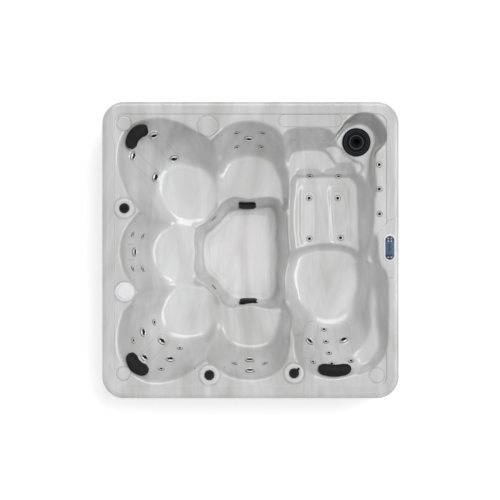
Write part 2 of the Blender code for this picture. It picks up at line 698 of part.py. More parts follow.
def gathered(name, pairs):
    """One mesh from meshes set in their frames."""
    bm = bmesh.new()
    for mesh, frame in pairs:
        copy = mesh.copy()
        copy.transform(frame)
        bm.from_mesh(copy)
        bpy.data.meshes.remove(copy)
    return mesh_from(bm, name)


def rounded_square(half, height):
    """A square ring with the tub's corner centres."""
    radius = half - CORNER_CENTRE
    points = []
    for corner in range(4):
        turn = math.tau / 4 * corner
        middle = Matrix.Rotation(turn, 2) @ Vector((CORNER_CENTRE, CORNER_CENTRE))
        for k in range(CORNER_STEPS + 1):
            angle = turn + math.tau / 4 * k / CORNER_STEPS
            points.append((middle.x + radius * math.cos(angle),
                           middle.y + radius * math.sin(angle), height))
    return points


def stadium(width, length, steps=END_STEPS):
    """A stadium outline about the origin, long along Y."""
    radius = width / 2
    straight = length / 2 - radius
    points = []
    for k in range(steps + 1):
        angle = math.pi * k / steps
        points.append((radius * math.cos(angle), straight + radius * math.sin(angle)))
    for k in range(steps + 1):
        angle = math.pi + math.pi * k / steps
        points.append((radius * math.cos(angle), radius * math.sin(angle) - straight))
    return points


def plate_mesh(name, outline, low, high):
    """A flat outline between two heights."""
    curve = bpy.data.curves.new(name, "CURVE")
    curve.dimensions = "2D"
    curve.fill_mode = "BOTH"
    curve.extrude = (high - low) / 2
    spline = curve.splines.new("POLY")
    spline.points.add(len(outline) - 1)
    for point, place_xy in zip(spline.points, outline):
        point.co = (place_xy[0], place_xy[1], 0.0, 1.0)
    spline.use_cyclic_u = True
    item = bpy.data.objects.new(name, curve)
    PARTS.objects.link(item)
    mesh = evaluated_mesh(item)
    bpy.data.objects.remove(item, do_unlink=True)
    bm = bmesh.new()
    bm.from_mesh(mesh)
    bmesh.ops.remove_doubles(bm, verts=bm.verts, dist=WELD)
    bmesh.ops.translate(bm, vec=Vector((0.0, 0.0, (low + high) / 2)), verts=bm.verts)
    return mesh_from(bm, name)


def smooth(item, angle=40):
    """Shade round faces smooth and keep true edges sharp."""
    item.data.shade_smooth()
    item.data.set_sharp_from_angle(angle=math.radians(angle))
    return item


def wall_shares(basin):
    """Shares of a wall's run at which its rings are drawn."""
    shares = [basin.fillet * share for share in FILLET_RING_SHARES]
    return shares + [1 - SEAT_BROW_SHARE * share for share in BROW_RING_SHARES]


def basin_inside(name, basin, sides):
    """The hollow of a basin as a cutter."""
    rings = [basin.ring(DISH_RING_SHARE - 1, sides,
                        basin.floor - basin.dish * (1 - DISH_RING_SHARE ** 2))]
    for share in wall_shares(basin):
        rise = basin.rise * wall_rise(share, basin.fillet, SEAT_BROW_SHARE)
        rings.append(basin.ring(share, sides, basin.floor + rise))
    rings.append(basin.ring(1.0, sides, RIM_TOP + OVERRUN))
    return as_cutter(new_object(name + "_inside", loft(name + "_inside", rings), group=CUTTERS))


def basin_outside(name, basin, sides):
    """The moulded back of a basin, grown by the wall."""
    rings = [basin.ring(0.0, sides, basin.floor - SHELL_WALL - basin.dish, SHELL_WALL)]
    for share in wall_shares(basin)[1:-1]:
        rise = basin.rise * wall_rise(share, basin.fillet, SEAT_BROW_SHARE)
        rings.append(basin.ring(share, sides, basin.floor + rise - SHELL_WALL, SHELL_WALL))
    last = min(basin.floor + basin.rise, DECK - SHELL_WALL / 2)
    rings.append(basin.ring(1.0, sides, last, SHELL_WALL))
    return as_cutter(new_object(name + "_outside", loft(name + "_outside", rings), group=CUTTERS))


def rim_mesh():
    """The deck with its raised band, rolled edge and skirt."""
    step = HALF - RIM_BAND
    rings = [
        rounded_square(SKIRT_INSIDE, DECK_UNDER),
        rounded_square(SKIRT_INSIDE, SKIRT_FOOT),
        rounded_square(HALF, SKIRT_FOOT),
        rounded_square(HALF, RIM_TOP - RIM_ROLL),
        rounded_square(HALF - RIM_ROLL * 0.3, RIM_TOP - RIM_ROLL * 0.3),
        rounded_square(HALF - RIM_ROLL, RIM_TOP),
        rounded_square(step, RIM_TOP),
        rounded_square(step - RIM_RISE * 0.6, DECK),
    ]
    return loft("rim", rings)


def build_shell():
    """The moulded acrylic shell: its skin, hollows, pads, seats and bores."""
    backs = new_collection("shell_backs")
    hollows = new_collection("shell_hollows")
    for name, basin in SHELL_BASINS.items():
        sides = FINE_SIDES.get(name, RING_SIDES)
        if name not in CALF_TROUGHS_PX:
            move_to(basin_outside(name, basin, sides), backs)
        move_to(basin_inside(name, basin, sides), hollows)
    move_to(deck_pads(), backs)
    move_to(suction_backs(), backs)
    jets = small_jets()
    bores = fitting_bores()
    recesses = [pillow_recess(name) for name in PILLOWS_PX]
    shell = new_object("shell", rim_mesh(), ACRYLIC)
    add_group_boolean(shell, backs, "UNION")
    add_group_boolean(shell, hollows, "DIFFERENCE")
    add_boolean(shell, jets, "UNION")
    add_boolean(shell, bores, "DIFFERENCE")
    for recess in recesses:
        add_boolean(shell, recess, "DIFFERENCE")
    return shell


def move_to(item, group):
    """Move an object from the cutters to another collection."""
    CUTTERS.objects.unlink(item)
    group.objects.link(item)
    return item


def add_group_boolean(item, group, operation):
    """Join a collection of tools to an object or cut them out, all at once."""
    step = item.modifiers.new(group.name, "BOOLEAN")
    step.operation = operation
    step.solver = "EXACT"
    step.operand_type = "COLLECTION"
    step.collection = group
    return item


def deck_pads():
    """Raised round pads under the deck fittings and the boss under the control panel."""
    pairs = []
    pad = rod_mesh("pad", PAD_RADIUS, DECK_UNDER + SHELL_WALL / 2, DECK + PAD_RISE, ROUND_STEPS)
    for px in [AIR_KNOB_LEFT_PX, AIR_KNOB_BOTTOM_PX, DIVERTER_PX, CAP_PX] + BLANK_PADS_PX:
        pairs.append((pad, Matrix.Translation(place(px).to_3d())))
    boss = [place(px) for px in reversed(PANEL_BOSS_PX)]
    pairs.append((plate_mesh("boss", boss, DECK_UNDER + SHELL_WALL / 2, RIM_TOP), Matrix()))
    return as_cutter(new_object("deck_pads", gathered("deck_pads", pairs), group=CUTTERS))


def suction_frame(name):
    """The frame of a suction cover on the footwell's wall, its Y up the wall."""
    return surface_frame(SUCTIONS_PX[name], SUCTION_WIDTH / 12, SUCTION_SINK)


def suction_backs():
    """Thick pads behind the footwell's walls, where the suction covers sit."""
    size = (SUCTION_WIDTH + SUCTION_PAD, SUCTION_LENGTH + SUCTION_PAD, SUCTION_PAD)
    pad = box_mesh("back", size, (0.0, 0.0, SUCTION_SINK - SUCTION_PAD / 2))
    pairs = [(pad, suction_frame(name)) for name in SUCTIONS_PX]
    return as_cutter(new_object("suction_backs", gathered("suction_backs", pairs), group=CUTTERS))


def small_jets():
    """The fixed small jets, one domed flange each, bonded to the shell."""
    bm = bmesh.new()
    bmesh.ops.create_cone(bm, cap_ends=True, segments=SMALL_JET_SIDES, radius1=SMALL_JET_RADIUS,
                          radius2=SMALL_JET_RADIUS * 0.8, depth=SMALL_JET_RISE * 2)
    flange = mesh_from(bm, "small_jet")
    pairs = []
    for px in SMALL_JETS_PX:
        pairs.append((flange, surface_frame(px, SMALL_JET_RADIUS * 0.6, 0.0)))
    return as_cutter(new_object("small_jets", gathered("small_jets", pairs), group=CUTTERS))


def jet_frame(name):
    """The frame of a large jet: origin on its seat, Z out of the shell."""
    return surface_frame(LARGE_JETS_PX[name], JET_FLANGE_RADIUS * 0.7, JET_SEAT_DEPTH)


def clear_of_facets(radius, steps):
    """The radius of a faceted bore in which a part of a given radius can turn."""
    return (radius + FIT) / math.cos(math.pi / steps)


def fitting_bores():
    """Seats and bores for the jets, valves, cap, filter, panel and suction covers."""
    reach = clear_of_facets(JET_FLANGE_RADIUS, JET_STEPS)
    bore = clear_of_facets(JET_BARREL_RADIUS, JET_STEPS)
    depth = SHELL_WALL * 3
    through = JET_BARREL_LENGTH + FIT
    seat = turned("jet_seat", [(0.0, depth), (reach, depth), (reach, 0.0), (bore, 0.0),
                               (bore, -through), (0.0, -through)], JET_STEPS)
    pairs = [(seat, jet_frame(name)) for name in LARGE_JETS_PX]
    valve = rod_mesh("valve_bore", VALVE_BODY_RADIUS + FIT, DECK - depth, RIM_TOP, ROUND_STEPS)
    for px in (AIR_KNOB_LEFT_PX, AIR_KNOB_BOTTOM_PX, DIVERTER_PX):
        pairs.append((valve, Matrix.Translation(place(px).to_3d())))
    spigot = rod_mesh("cap_bore", CAP_SPIGOT_RADIUS + FIT, DECK - depth, RIM_TOP, ROUND_STEPS)
    pairs.append((spigot, Matrix.Translation(place(CAP_PX).to_3d())))
    clear = FILTER_BORE_RADIUS + HOUSING_FLANGE + FIT * 2
    under = -SHELL_WALL - FIT / 2
    filter_bore = turned("filter_bore", [
        (0.0, depth), (FILTER_BORE_RADIUS, depth), (FILTER_BORE_RADIUS, under), (clear, under),
        (clear, -SHELL_WALL * 5), (0.0, -SHELL_WALL * 5)], ROUND_STEPS)
    pairs.append((filter_bore, Matrix.Translation((*place(FILTER_PX), PLATFORM))))
    panel = plate_mesh("panel_bore", stadium(PANEL_BOX_WIDTH + FIT * 4, PANEL_BOX_LENGTH + FIT * 4),
                       DECK - depth, RIM_TOP + depth)
    pairs.append((panel, Matrix.Translation(place(PANEL_PX).to_3d())))
    cover = box_mesh("cover_seat", (SUCTION_WIDTH + FIT * 2, SUCTION_LENGTH + FIT * 2, depth),
                     (0.0, 0.0, depth / 2))
    barrel = rod_mesh("cover_bore", SUCTION_BARREL_RADIUS + FIT * 2, -depth, depth / 2, JET_STEPS)
    joined = joined_mesh("cover_cut", cover, barrel)
    pairs += [(joined, suction_frame(name)) for name in SUCTIONS_PX]
    return as_cutter(new_object("fitting_bores", gathered("fitting_bores", pairs), group=CUTTERS))


def joined_mesh(name, first, *others):
    """The union of some meshes as one mesh."""
    base = new_object(name, first, group=CUTTERS)
    tools = []
    for k, other in enumerate(others):
        tool = new_object(f"{name}_{k}", other, group=CUTTERS)
        add_boolean(base, tool, "UNION")
        tools.append(tool)
    mesh = evaluated_mesh(base)
    mesh.materials.clear()
    for item in tools + [base]:
        bpy.data.objects.remove(item, do_unlink=True)
    return mesh


def pillow_cage(name):
    """A coarse closed cage of a pillow that lies on the shell along its centre line."""
    line = [place(px) for px in PILLOWS_PX[name]]
    middle = sum(line, Vector((0.0, 0.0))) / len(line)
    rows = []
    for k, point in enumerate(line):
        before = line[max(k - 1, 0)]
        after = line[min(k + 1, len(line) - 1)]
        along = (after - before).normalized()
        side = Vector((along.y, -along.x))
        row = []
        for share in (-1.0, 0.0, 1.0):
            spot = point + side * share * PILLOW_HALF_WIDTH
            height = surface_height(spot.x, spot.y)
            frame_x = surface_height(spot.x + JET_FLANGE_RADIUS, spot.y)
            frame_y = surface_height(spot.x, spot.y + JET_FLANGE_RADIUS)
            slope = Vector(((height - frame_x) / JET_FLANGE_RADIUS,
                            (height - frame_y) / JET_FLANGE_RADIUS, 1.0)).normalized()
            foot = Vector((spot.x, spot.y, height)) - slope * PILLOW_SINK
            crown = PILLOW_CROWN if share == 0.0 and 0 < k < len(line) - 1 else 0.0
            row.append((foot, foot + slope * (PILLOW_THICK + crown)))
        rows.append(row)
    bm = bmesh.new()
    low = [[bm.verts.new(pair[0]) for pair in row] for row in rows]
    high = [[bm.verts.new(pair[1]) for pair in row] for row in rows]
    last = len(rows) - 1
    for k in range(last):
        for j in range(2):
            bm.faces.new((low[k][j], low[k][j + 1], low[k + 1][j + 1], low[k + 1][j]))
            bm.faces.new((high[k][j], high[k + 1][j], high[k + 1][j + 1], high[k][j + 1]))
        for j in (0, 2):
            bm.faces.new((low[k][j], high[k][j], high[k + 1][j], low[k + 1][j]))
    for k in (0, last):
        for j in range(2):
            bm.faces.new((low[k][j], low[k][j + 1], high[k][j + 1], high[k][j]))
    bmesh.ops.translate(bm, vec=Vector((-middle.x, -middle.y, 0.0)), verts=bm.verts)
    return mesh_from(bm, name), middle


def soften(item):
    """Round a coarse cage."""
    step = item.modifiers.new("soft", "SUBSURF")
    step.levels = 2
    step.render_levels = 2
    return item


def pillow_recess(name):
    """The pillow's own form, grown by the fit, as the tool that seats it in the shell."""
    cage, middle = pillow_cage(name)
    cage.name = name + "_recess"
    item = soften(new_object(name + "_recess", cage, group=CUTTERS))
    grow = item.modifiers.new("grow", "DISPLACE")
    grow.strength = FIT
    grow.mid_level = 0.0
    item.modifiers.new("flat_faces", "TRIANGULATE")
    item.location = (middle.x, middle.y, 0.0)
    return as_cutter(item)


def build_pillows():
    """The three foam head pillows."""
    for name in PILLOWS_PX:
        cage, middle = pillow_cage(name)
        item = soften(new_object(name, cage, FOAM))
        item.location = (middle.x, middle.y, 0.0)
        smooth(item, 180)


def build_jets():
    """The large turning jet inserts, all of one turned form."""
    lip = JET_FLANGE_THICK
    form = turned("jet_insert", [
        (0.0, lip - JET_NOZZLE_DEPTH), (JET_NOZZLE_RADIUS, lip - JET_NOZZLE_DEPTH),
        (JET_NOZZLE_RADIUS * 1.3, lip), (JET_FLANGE_RADIUS * 0.75, lip),
        (JET_FLANGE_RADIUS, lip * 0.35), (JET_FLANGE_RADIUS, FIT), (JET_BARREL_RADIUS, FIT),
        (JET_BARREL_RADIUS * 0.8, -JET_BARREL_LENGTH), (0.0, -JET_BARREL_LENGTH)], JET_STEPS)
    form.materials.append(STEEL)
    form.shade_smooth()
    form.set_sharp_from_angle(angle=math.radians(40))
    for name in LARGE_JETS_PX:
        item = new_object(name, form)
        item.matrix_world = jet_frame(name)


def valve_plate(name, px):
    """A white deck plate with its valve body below and a bore for the knob's stem."""
    foot = DECK + PAD_RISE + FIT
    top = PLATE_THICK
    stem = KNOB_STEM_RADIUS + FIT
    mesh = turned(name, [
        (stem, top), (PLATE_RADIUS * 0.93, top), (PLATE_RADIUS, top * 0.4), (PLATE_RADIUS, 0.0),
        (VALVE_BODY_RADIUS, 0.0), (VALVE_BODY_RADIUS, -VALVE_BODY_LENGTH),
        (0.0, -VALVE_BODY_LENGTH), (0.0, -KNOB_STEM_LENGTH), (stem, -KNOB_STEM_LENGTH)],
        ROUND_STEPS, closed=True)
    item = smooth(new_object(name, mesh, WHITE))
    item.location = (*place(px), foot)
    return item


def valve_knob(name, px, pointer):
    """A black grip knob on its stem, with scalloped sides and perhaps a pointer."""
    foot = DECK + PAD_RISE + PLATE_THICK + FIT * 2
    form = turned(name, [
        (0.0, KNOB_HEIGHT), (KNOB_RADIUS * 0.72, KNOB_HEIGHT), (KNOB_RADIUS * 0.9, KNOB_HEIGHT * 0.8),
        (KNOB_RADIUS, KNOB_HEIGHT * 0.12), (KNOB_RADIUS, 0.0), (KNOB_STEM_RADIUS, 0.0),
        (KNOB_STEM_RADIUS, FIT - KNOB_STEM_LENGTH + PLATE_THICK),
        (0.0, FIT - KNOB_STEM_LENGTH + PLATE_THICK)], ROUND_STEPS)
    item = new_object(name, form, BLACK)
    grip = rod_mesh(name + "_grip", KNOB_GRIP_RADIUS, KNOB_HEIGHT * 0.2, KNOB_HEIGHT * 2, 8)
    pairs = []
    for k in range(8):
        angle = math.tau * (k + 0.5) / 8
        reach = KNOB_RADIUS + KNOB_GRIP_RADIUS * 0.4
        spot = Vector((reach * math.cos(angle), reach * math.sin(angle), 0.0))
        pairs.append((grip, Matrix.Translation(spot)))
    grips = new_object(name + "_grips", gathered(name + "_grips", pairs), group=CUTTERS)
    add_boolean(item, as_cutter(grips), "DIFFERENCE")
    if pointer:
        size = (POINTER_LENGTH * 2, POINTER_WIDTH, KNOB_HEIGHT * 0.5)
        mesh = box_mesh(name + "_pointer", size, (KNOB_RADIUS, 0.0, KNOB_HEIGHT * 0.55))
        mesh.transform(Matrix.Rotation(math.radians(45), 4, "Z"))
        tongue = as_cutter(new_object(name + "_pointer", mesh, group=CUTTERS))
        add_boolean(item, tongue, "UNION")
        tongue.location = (*place(px), foot)
    item.location = (*place(px), foot)
    grips.location = item.location
    return smooth(item)


def build_valves():
    """Two air controls and one diverter on the deck."""
    for stem, px, pointer in (("air_left", AIR_KNOB_LEFT_PX, False),
                              ("air_bottom", AIR_KNOB_BOTTOM_PX, False),
                              ("diverter", DIVERTER_PX, True)):
        valve_plate(stem + "_plate", px)
        valve_knob(stem + "_knob", px, pointer)


def build_cap():
    """The white twist cap in its deck socket."""
    foot = DECK + PAD_RISE + FIT
    bore = CAP_SPIGOT_RADIUS * 0.85
    socket = turned("cap_socket", [
        (bore, PLATE_THICK * 0.4), (PLATE_RADIUS * 0.9, PLATE_THICK * 0.4),
        (PLATE_RADIUS, 0.0), (CAP_SPIGOT_RADIUS, 0.0),
        (CAP_SPIGOT_RADIUS, -CAP_SPIGOT_LENGTH * 2), (0.0, -CAP_SPIGOT_LENGTH * 2),
        (0.0, FIT - CAP_SPIGOT_LENGTH * 1.5), (bore, FIT - CAP_SPIGOT_LENGTH * 1.5)],
        ROUND_STEPS, closed=True)
    item = smooth(new_object("cap_socket", socket, WHITE))
    item.location = (*place(CAP_PX), foot)
    seat = PLATE_THICK * 0.4 + FIT
    spigot = bore * math.cos(math.pi / ROUND_STEPS) - FIT
    lid = turned("deck_cap", [
        (0.0, seat + CAP_HEIGHT - CAP_DIMPLE), (CAP_DIMPLE, seat + CAP_HEIGHT - CAP_DIMPLE),
        (CAP_DIMPLE * 2, seat + CAP_HEIGHT), (CAP_RADIUS * 0.85, seat + CAP_HEIGHT * 0.85),
        (CAP_RADIUS, seat + CAP_HEIGHT * 0.3), (CAP_RADIUS, seat), (spigot, seat),
        (spigot, seat - CAP_SPIGOT_LENGTH), (0.0, seat - CAP_SPIGOT_LENGTH)], ROUND_STEPS)
    cap = smooth(new_object("deck_cap", lid, WHITE))
    cap.location = item.location


def build_filter():
    """The filter's housing, its pleated cartridge and the ribbed lid that lifts with it."""
    spot = place(FILTER_PX)
    under = PLATFORM - SHELL_WALL - FIT
    outer = FILTER_BORE_RADIUS + HOUSING_FLANGE
    bore = FILTER_BORE_RADIUS - HOUSING_WALL
    housing = turned("filter_housing", [
        (bore, 0.0), (outer, 0.0), (outer, -HOUSING_WALL), (bore + HOUSING_WALL, -HOUSING_WALL * 2),
        (bore + HOUSING_WALL, -HOUSING_DEPTH), (0.0, -HOUSING_DEPTH),
        (0.0, HOUSING_WALL - HOUSING_DEPTH), (bore, HOUSING_WALL - HOUSING_DEPTH)],
        ROUND_STEPS, closed=True)
    item = smooth(new_object("filter_housing", housing, HOUSING))
    item.location = (*spot, under)
    build_filter_lid(spot)
    build_cartridge(spot)


def build_filter_lid(spot):
    """The black ribbed ring over the filter, with an open middle."""
    top = FILTER_LID_THICK
    hole = FILTER_HOLE_RADIUS
    profile = [(hole, top * 0.5)]
    ribs = 3
    step = (FILTER_LID_RADIUS - hole) / (ribs + 0.5)
    for k in range(ribs):
        start = hole + step * (k + 0.25)
        profile.append((start, top * 0.5 + FILTER_RIB * k / ribs))
        profile.append((start + step * 0.25, top))
        profile.append((start + step * 0.75, top))
    profile += [(FILTER_LID_RADIUS, top * 0.4), (FILTER_LID_RADIUS, 0.0), (hole, 0.0)]
    item = smooth(new_object("filter_lid", turned("filter_lid", profile, ROUND_STEPS, closed=True),
                             BLACK))
    item.location = (*spot, PLATFORM + FIT)


def build_cartridge(spot):
    """The pleated cartridge that hangs under the lid, with end caps and an open core."""
    top = PLATFORM - FIT
    foot = top - CARTRIDGE_LENGTH
    sides = PLEAT_COUNT * 2

    def circle(radius, height):
        return [(radius * math.cos(math.tau * k / sides), radius * math.sin(math.tau * k / sides),
                 height) for k in range(sides)]

    def pleats(height):
        points = []
        for k in range(sides):
            radius = CARTRIDGE_RADIUS - FIT * 4 - (PLEAT_DEPTH if k % 2 else 0.0)
            angle = math.tau * k / sides
            points.append((radius * math.cos(angle), radius * math.sin(angle), height))
        return points

    rings = [circle(CARTRIDGE_RADIUS, foot), circle(CARTRIDGE_RADIUS, foot + CARTRIDGE_CAP),
             pleats(foot + CARTRIDGE_CAP), pleats(top - CARTRIDGE_CAP),
             circle(CARTRIDGE_RADIUS, top - CARTRIDGE_CAP), circle(CARTRIDGE_RADIUS, top),
             circle(CARTRIDGE_CORE_RADIUS, top), circle(CARTRIDGE_CORE_RADIUS, foot)]
    item = new_object("filter_cartridge", loft("filter_cartridge", rings, closed=True), PAPER)
    item.location = (*spot, 0.0)


def build_panel():
    """The topside control panel: bezel, screen plate and its six keys."""
    spot = place(PANEL_PX)
    foot = RIM_TOP + FIT
    ledge = BEZEL_THICK - SCREEN_THICK
    bezel = plate_mesh("panel_bezel", stadium(BEZEL_WIDTH, BEZEL_LENGTH), 0.0, BEZEL_THICK)
    box = plate_mesh("panel_box", stadium(PANEL_BOX_WIDTH, PANEL_BOX_LENGTH),
                     -PANEL_BOX_DEPTH, FIT)
    item = new_object("panel_bezel", joined_mesh("panel_bezel", bezel, box), WHITE)
    pocket = plate_mesh("panel_pocket", stadium(SCREEN_WIDTH + FIT * 2, SCREEN_LENGTH + FIT * 2),
                        ledge - FIT, BEZEL_THICK + OVERRUN)
    wells = rod_mesh("key_well", KEY_RADIUS + KEY_GAP, ledge - KEY_TRAVEL * 3, ledge + FIT, KEY_STEPS)
    pairs = [(wells, Matrix.Translation((*offset, 0.0))) for offset in key_places()]
    cut_tools = [as_cutter(new_object("panel_pocket", pocket, group=CUTTERS)),
                 as_cutter(new_object("key_wells", gathered("key_wells", pairs), group=CUTTERS))]
    for tool in cut_tools:
        add_boolean(item, tool, "DIFFERENCE")
        tool.location = (*spot, foot)
    item.location = (*spot, foot)
    smooth(item)
    build_screen(spot, foot + ledge)


def key_places():
    """Places of the six keys on the screen plate: two pairs above and one below."""
    half = KEY_PITCH / 2
    rows = (KEY_ROW_OFFSET, KEY_ROW_OFFSET - KEY_ROW_PITCH, -KEY_ROW_OFFSET)
    return [(side * half, row) for row in rows for side in (-1, 1)]


def build_screen(spot, foot):
    """The blue screen plate and the keys that stand through it."""
    thick = SCREEN_THICK + SCREEN_PROUD
    plate = plate_mesh("panel_screen", stadium(SCREEN_WIDTH, SCREEN_LENGTH), 0.0, thick)
    item = new_object("panel_screen", plate, SCREEN)
    hole = rod_mesh("key_hole", KEY_RADIUS + KEY_GAP, -OVERRUN, OVERRUN, KEY_STEPS)
    pairs = [(hole, Matrix.Translation((*offset, 0.0))) for offset in key_places()]
    holes = as_cutter(new_object("key_holes", gathered("key_holes", pairs), group=CUTTERS))
    add_boolean(item, holes, "DIFFERENCE")
    item.location = (*spot, foot)
    holes.location = item.location
    smooth(item)
    top = thick + KEY_PROUD
    form = turned("key", [(0.0, top), (KEY_RADIUS * 0.6, top), (KEY_RADIUS, top - KEY_PROUD * 0.6),
                          (KEY_RADIUS, -KEY_TRAVEL), (0.0, -KEY_TRAVEL)], KEY_STEPS)
    form.materials.append(KEY)
    form.shade_smooth()
    form.set_sharp_from_angle(angle=math.radians(40))
    for k, offset in enumerate(key_places()):
        key = new_object(f"panel_key_{k + 1}", form)
        key.location = (spot.x + offset[0], spot.y + offset[1], foot)


def build_suctions():
    """The two slotted suction covers on the footwell's end walls."""
    for name in SUCTIONS_PX:
        face = box_mesh(name + "_face", (SUCTION_WIDTH, SUCTION_LENGTH, SUCTION_THICK),
                        (0.0, 0.0, SUCTION_THICK / 2 + FIT))
        bm = bmesh.new()
        bm.from_mesh(face)
        edges = [edge for edge in bm.edges if sum(v.co.z > SUCTION_THICK / 2 for v in edge.verts)]
        bmesh.ops.bevel(bm, geom=edges, offset=SUCTION_THICK * 0.5, segments=3, profile=0.5,
                        affect="EDGES")
        barrel = rod_mesh(name + "_barrel", SUCTION_BARREL_RADIUS, -SUCTION_BARREL_LENGTH,
                          SUCTION_THICK / 2, JET_STEPS)
        mesh = joined_mesh(name, mesh_from(bm, name), barrel)
        item = new_object(name, mesh, BLACK)
        pitch = SUCTION_WIDTH / (SUCTION_SLOTS + 1)
        slot = box_mesh("slot", (SUCTION_SLOT_WIDTH, SUCTION_LENGTH * 0.72, SUCTION_SLOT_DEPTH * 2),
                        (0.0, 0.0, SUCTION_THICK + FIT))
        pairs = [(slot, Matrix.Translation(((k - (SUCTION_SLOTS - 1) / 2) * pitch, 0.0, 0.0)))
                 for k in range(SUCTION_SLOTS)]
        slots = as_cutter(new_object(name + "_slots", gathered(name + "_slots", pairs),
                                     group=CUTTERS))
        add_boolean(item, slots, "DIFFERENCE")
        item.matrix_world = suction_frame(name)
        slots.matrix_world = suction_frame(name)
        smooth(item)


def build_base():
    """The base pan: a tray with a raised edge and a pedestal under the footwell."""
    inside = PANEL_BACK - FIT
    rings = [rounded_square(PANEL_FACE, 0.0), rounded_square(PANEL_FACE, BASE_UPSTAND),
             rounded_square(inside, BASE_UPSTAND), rounded_square(inside, BASE_FLOOR)]
    item = new_object("base_pan", loft("base_pan", rings), BASE)
    floor = FOOTWELL_FLOOR - SEAT_DISH - SHELL_WALL - FIT
    middle = place(FOOTWELL_PX["centre"])
    pedestal = box_mesh("pedestal", (PEDESTAL_SIZE, PEDESTAL_SIZE, floor - BASE_FLOOR / 2),
                        (middle.x, middle.y, (floor + BASE_FLOOR / 2) / 2))
    add_boolean(item, as_cutter(new_object("pedestal", pedestal, group=CUTTERS)), "UNION")


def build_frame():
    """The top rail under the rim and the four corner posts that carry it."""
    inner = RAIL_FACE - RAIL_WIDTH
    rings = [rounded_square(RAIL_FACE, RAIL_UNDER), rounded_square(RAIL_FACE, RAIL_TOP),
             rounded_square(inner, RAIL_TOP), rounded_square(inner, RAIL_UNDER)]
    rail = new_object("frame_rail", loft("frame_rail", rings, closed=True), TIMBER)
    notch = plate_mesh("panel_notch", stadium(PANEL_BOX_WIDTH + PANEL_GAP, PANEL_BOX_LENGTH + PANEL_GAP),
                       RIM_TOP - PANEL_BOX_DEPTH - PANEL_GAP, RIM_TOP)
    tool = as_cutter(new_object("panel_notch", notch, group=CUTTERS))
    tool.location = (*place(PANEL_PX), 0.0)
    add_boolean(rail, tool, "DIFFERENCE")
    length = RAIL_UNDER - BASE_FLOOR - FIT * 2
    reach = RAIL_FACE - CORNER_CENTRE - PANEL_GAP / 4
    middle = math.sqrt(reach ** 2 - (POST_WIDTH / 2) ** 2) - POST_THICK / 2
    for k, name in enumerate(("frame_post_1", "frame_post_2", "frame_post_3", "frame_post_4")):
        post = box_mesh(name, (POST_THICK, POST_WIDTH, length))
        item = add_bevel(new_object(name, post, TIMBER), POST_THICK / 10, 1)
        angle = math.tau / 4 * k + math.tau / 8
        corner = Matrix.Rotation(math.tau / 4 * k, 2) @ Vector((CORNER_CENTRE, CORNER_CENTRE))
        item.location = (corner.x + middle * math.cos(angle), corner.y + middle * math.sin(angle),
                         BASE_FLOOR + FIT + length / 2)
        item.rotation_euler = (0.0, 0.0, angle)


def panel_profile():
    """The end outline of a cabinet panel: boards with grooves between, as depth and height."""
    foot = BASE_UPSTAND + FIT
    top = DECK_UNDER - PANEL_TUCK
    pitch = (top - foot) / BOARD_COUNT
    points = [(PANEL_BACK, foot), (PANEL_FACE, foot)]
    for k in range(1, BOARD_COUNT):
        seam = foot + pitch * k
        points.append((PANEL_FACE, seam - BOARD_GROOVE))
        points.append((PANEL_FACE - BOARD_GROOVE, seam))
        points.append((PANEL_FACE, seam + BOARD_GROOVE))
    return points + [(PANEL_FACE, top), (PANEL_BACK, top)]


def build_cabinet():
    """Four boarded panels and four rounded corner trims."""
    half = CORNER_CENTRE - TRIM_LAP
    names = ("cabinet_panel_right", "cabinet_panel_back", "cabinet_panel_left",
             "cabinet_panel_front")
    for k, name in enumerate(names):
        mesh = plate_mesh(name, panel_profile(), -half, half)
        item = new_object(name, mesh, CABINET)
        upright = Matrix(((1, 0, 0), (0, 0, -1), (0, 1, 0))).to_4x4()
        item.matrix_world = Matrix.Rotation(math.tau / 4 * k, 4, "Z") @ upright
    foot = BASE_UPSTAND + FIT
    top = DECK_UNDER - PANEL_TUCK
    outer = PANEL_FACE - CORNER_CENTRE
    inner = PANEL_BACK - CORNER_CENTRE
    arc = [math.tau / 4 * k / (CORNER_STEPS * 2) for k in range(CORNER_STEPS * 2 + 1)]
    outline = [(outer * math.cos(a), outer * math.sin(a)) for a in arc]
    outline += [(inner * math.cos(a), inner * math.sin(a)) for a in reversed(arc)]
    for k in range(4):
        mesh = plate_mesh(f"corner_trim_{k + 1}", outline, foot, top)
        item = smooth(new_object(f"corner_trim_{k + 1}", mesh, TRIM))
        turn = Matrix.Rotation(math.tau / 4 * k, 4, "Z")
        item.matrix_world = turn @ Matrix.Translation((CORNER_CENTRE, CORNER_CENTRE, 0.0))


def share_place(shares):
    """A place in the world from shares of the tub's width."""
    return Vector(shares) * TUB_WIDTH


def build_pump(name, spot):
    """A jet pump: motor, volute, inlet facing the footwell, outlet up, and a foot."""
    lie = Matrix.Rotation(math.tau / 4, 4, "Y")
    motor = rod_mesh("motor", MOTOR_RADIUS, 0.0, MOTOR_LENGTH, ROUND_STEPS, lie)
    volute = rod_mesh("volute", VOLUTE_RADIUS, -VOLUTE_LENGTH, MOTOR_LENGTH / 8, ROUND_STEPS, lie)
    inlet = rod_mesh("inlet", PORT_RADIUS, -VOLUTE_LENGTH - PORT_LENGTH, 0.0, JET_STEPS, lie)
    outlet = rod_mesh("outlet", PORT_RADIUS, 0.0, VOLUTE_RADIUS + PORT_LENGTH, JET_STEPS,
                      Matrix.Translation((-VOLUTE_LENGTH / 2, 0.0, 0.0)))
    drop = PUMP_AXIS_HEIGHT - BASE_FLOOR - FIT
    foot = box_mesh("foot", (PUMP_FOOT_LENGTH, PUMP_FOOT_WIDTH, drop),
                    (MOTOR_LENGTH / 2, 0.0, -drop / 2))
    item = new_object(name, joined_mesh(name, motor, volute, inlet, outlet, foot), MOTOR)
    item.location = (*spot, PUMP_AXIS_HEIGHT)
    smooth(item)


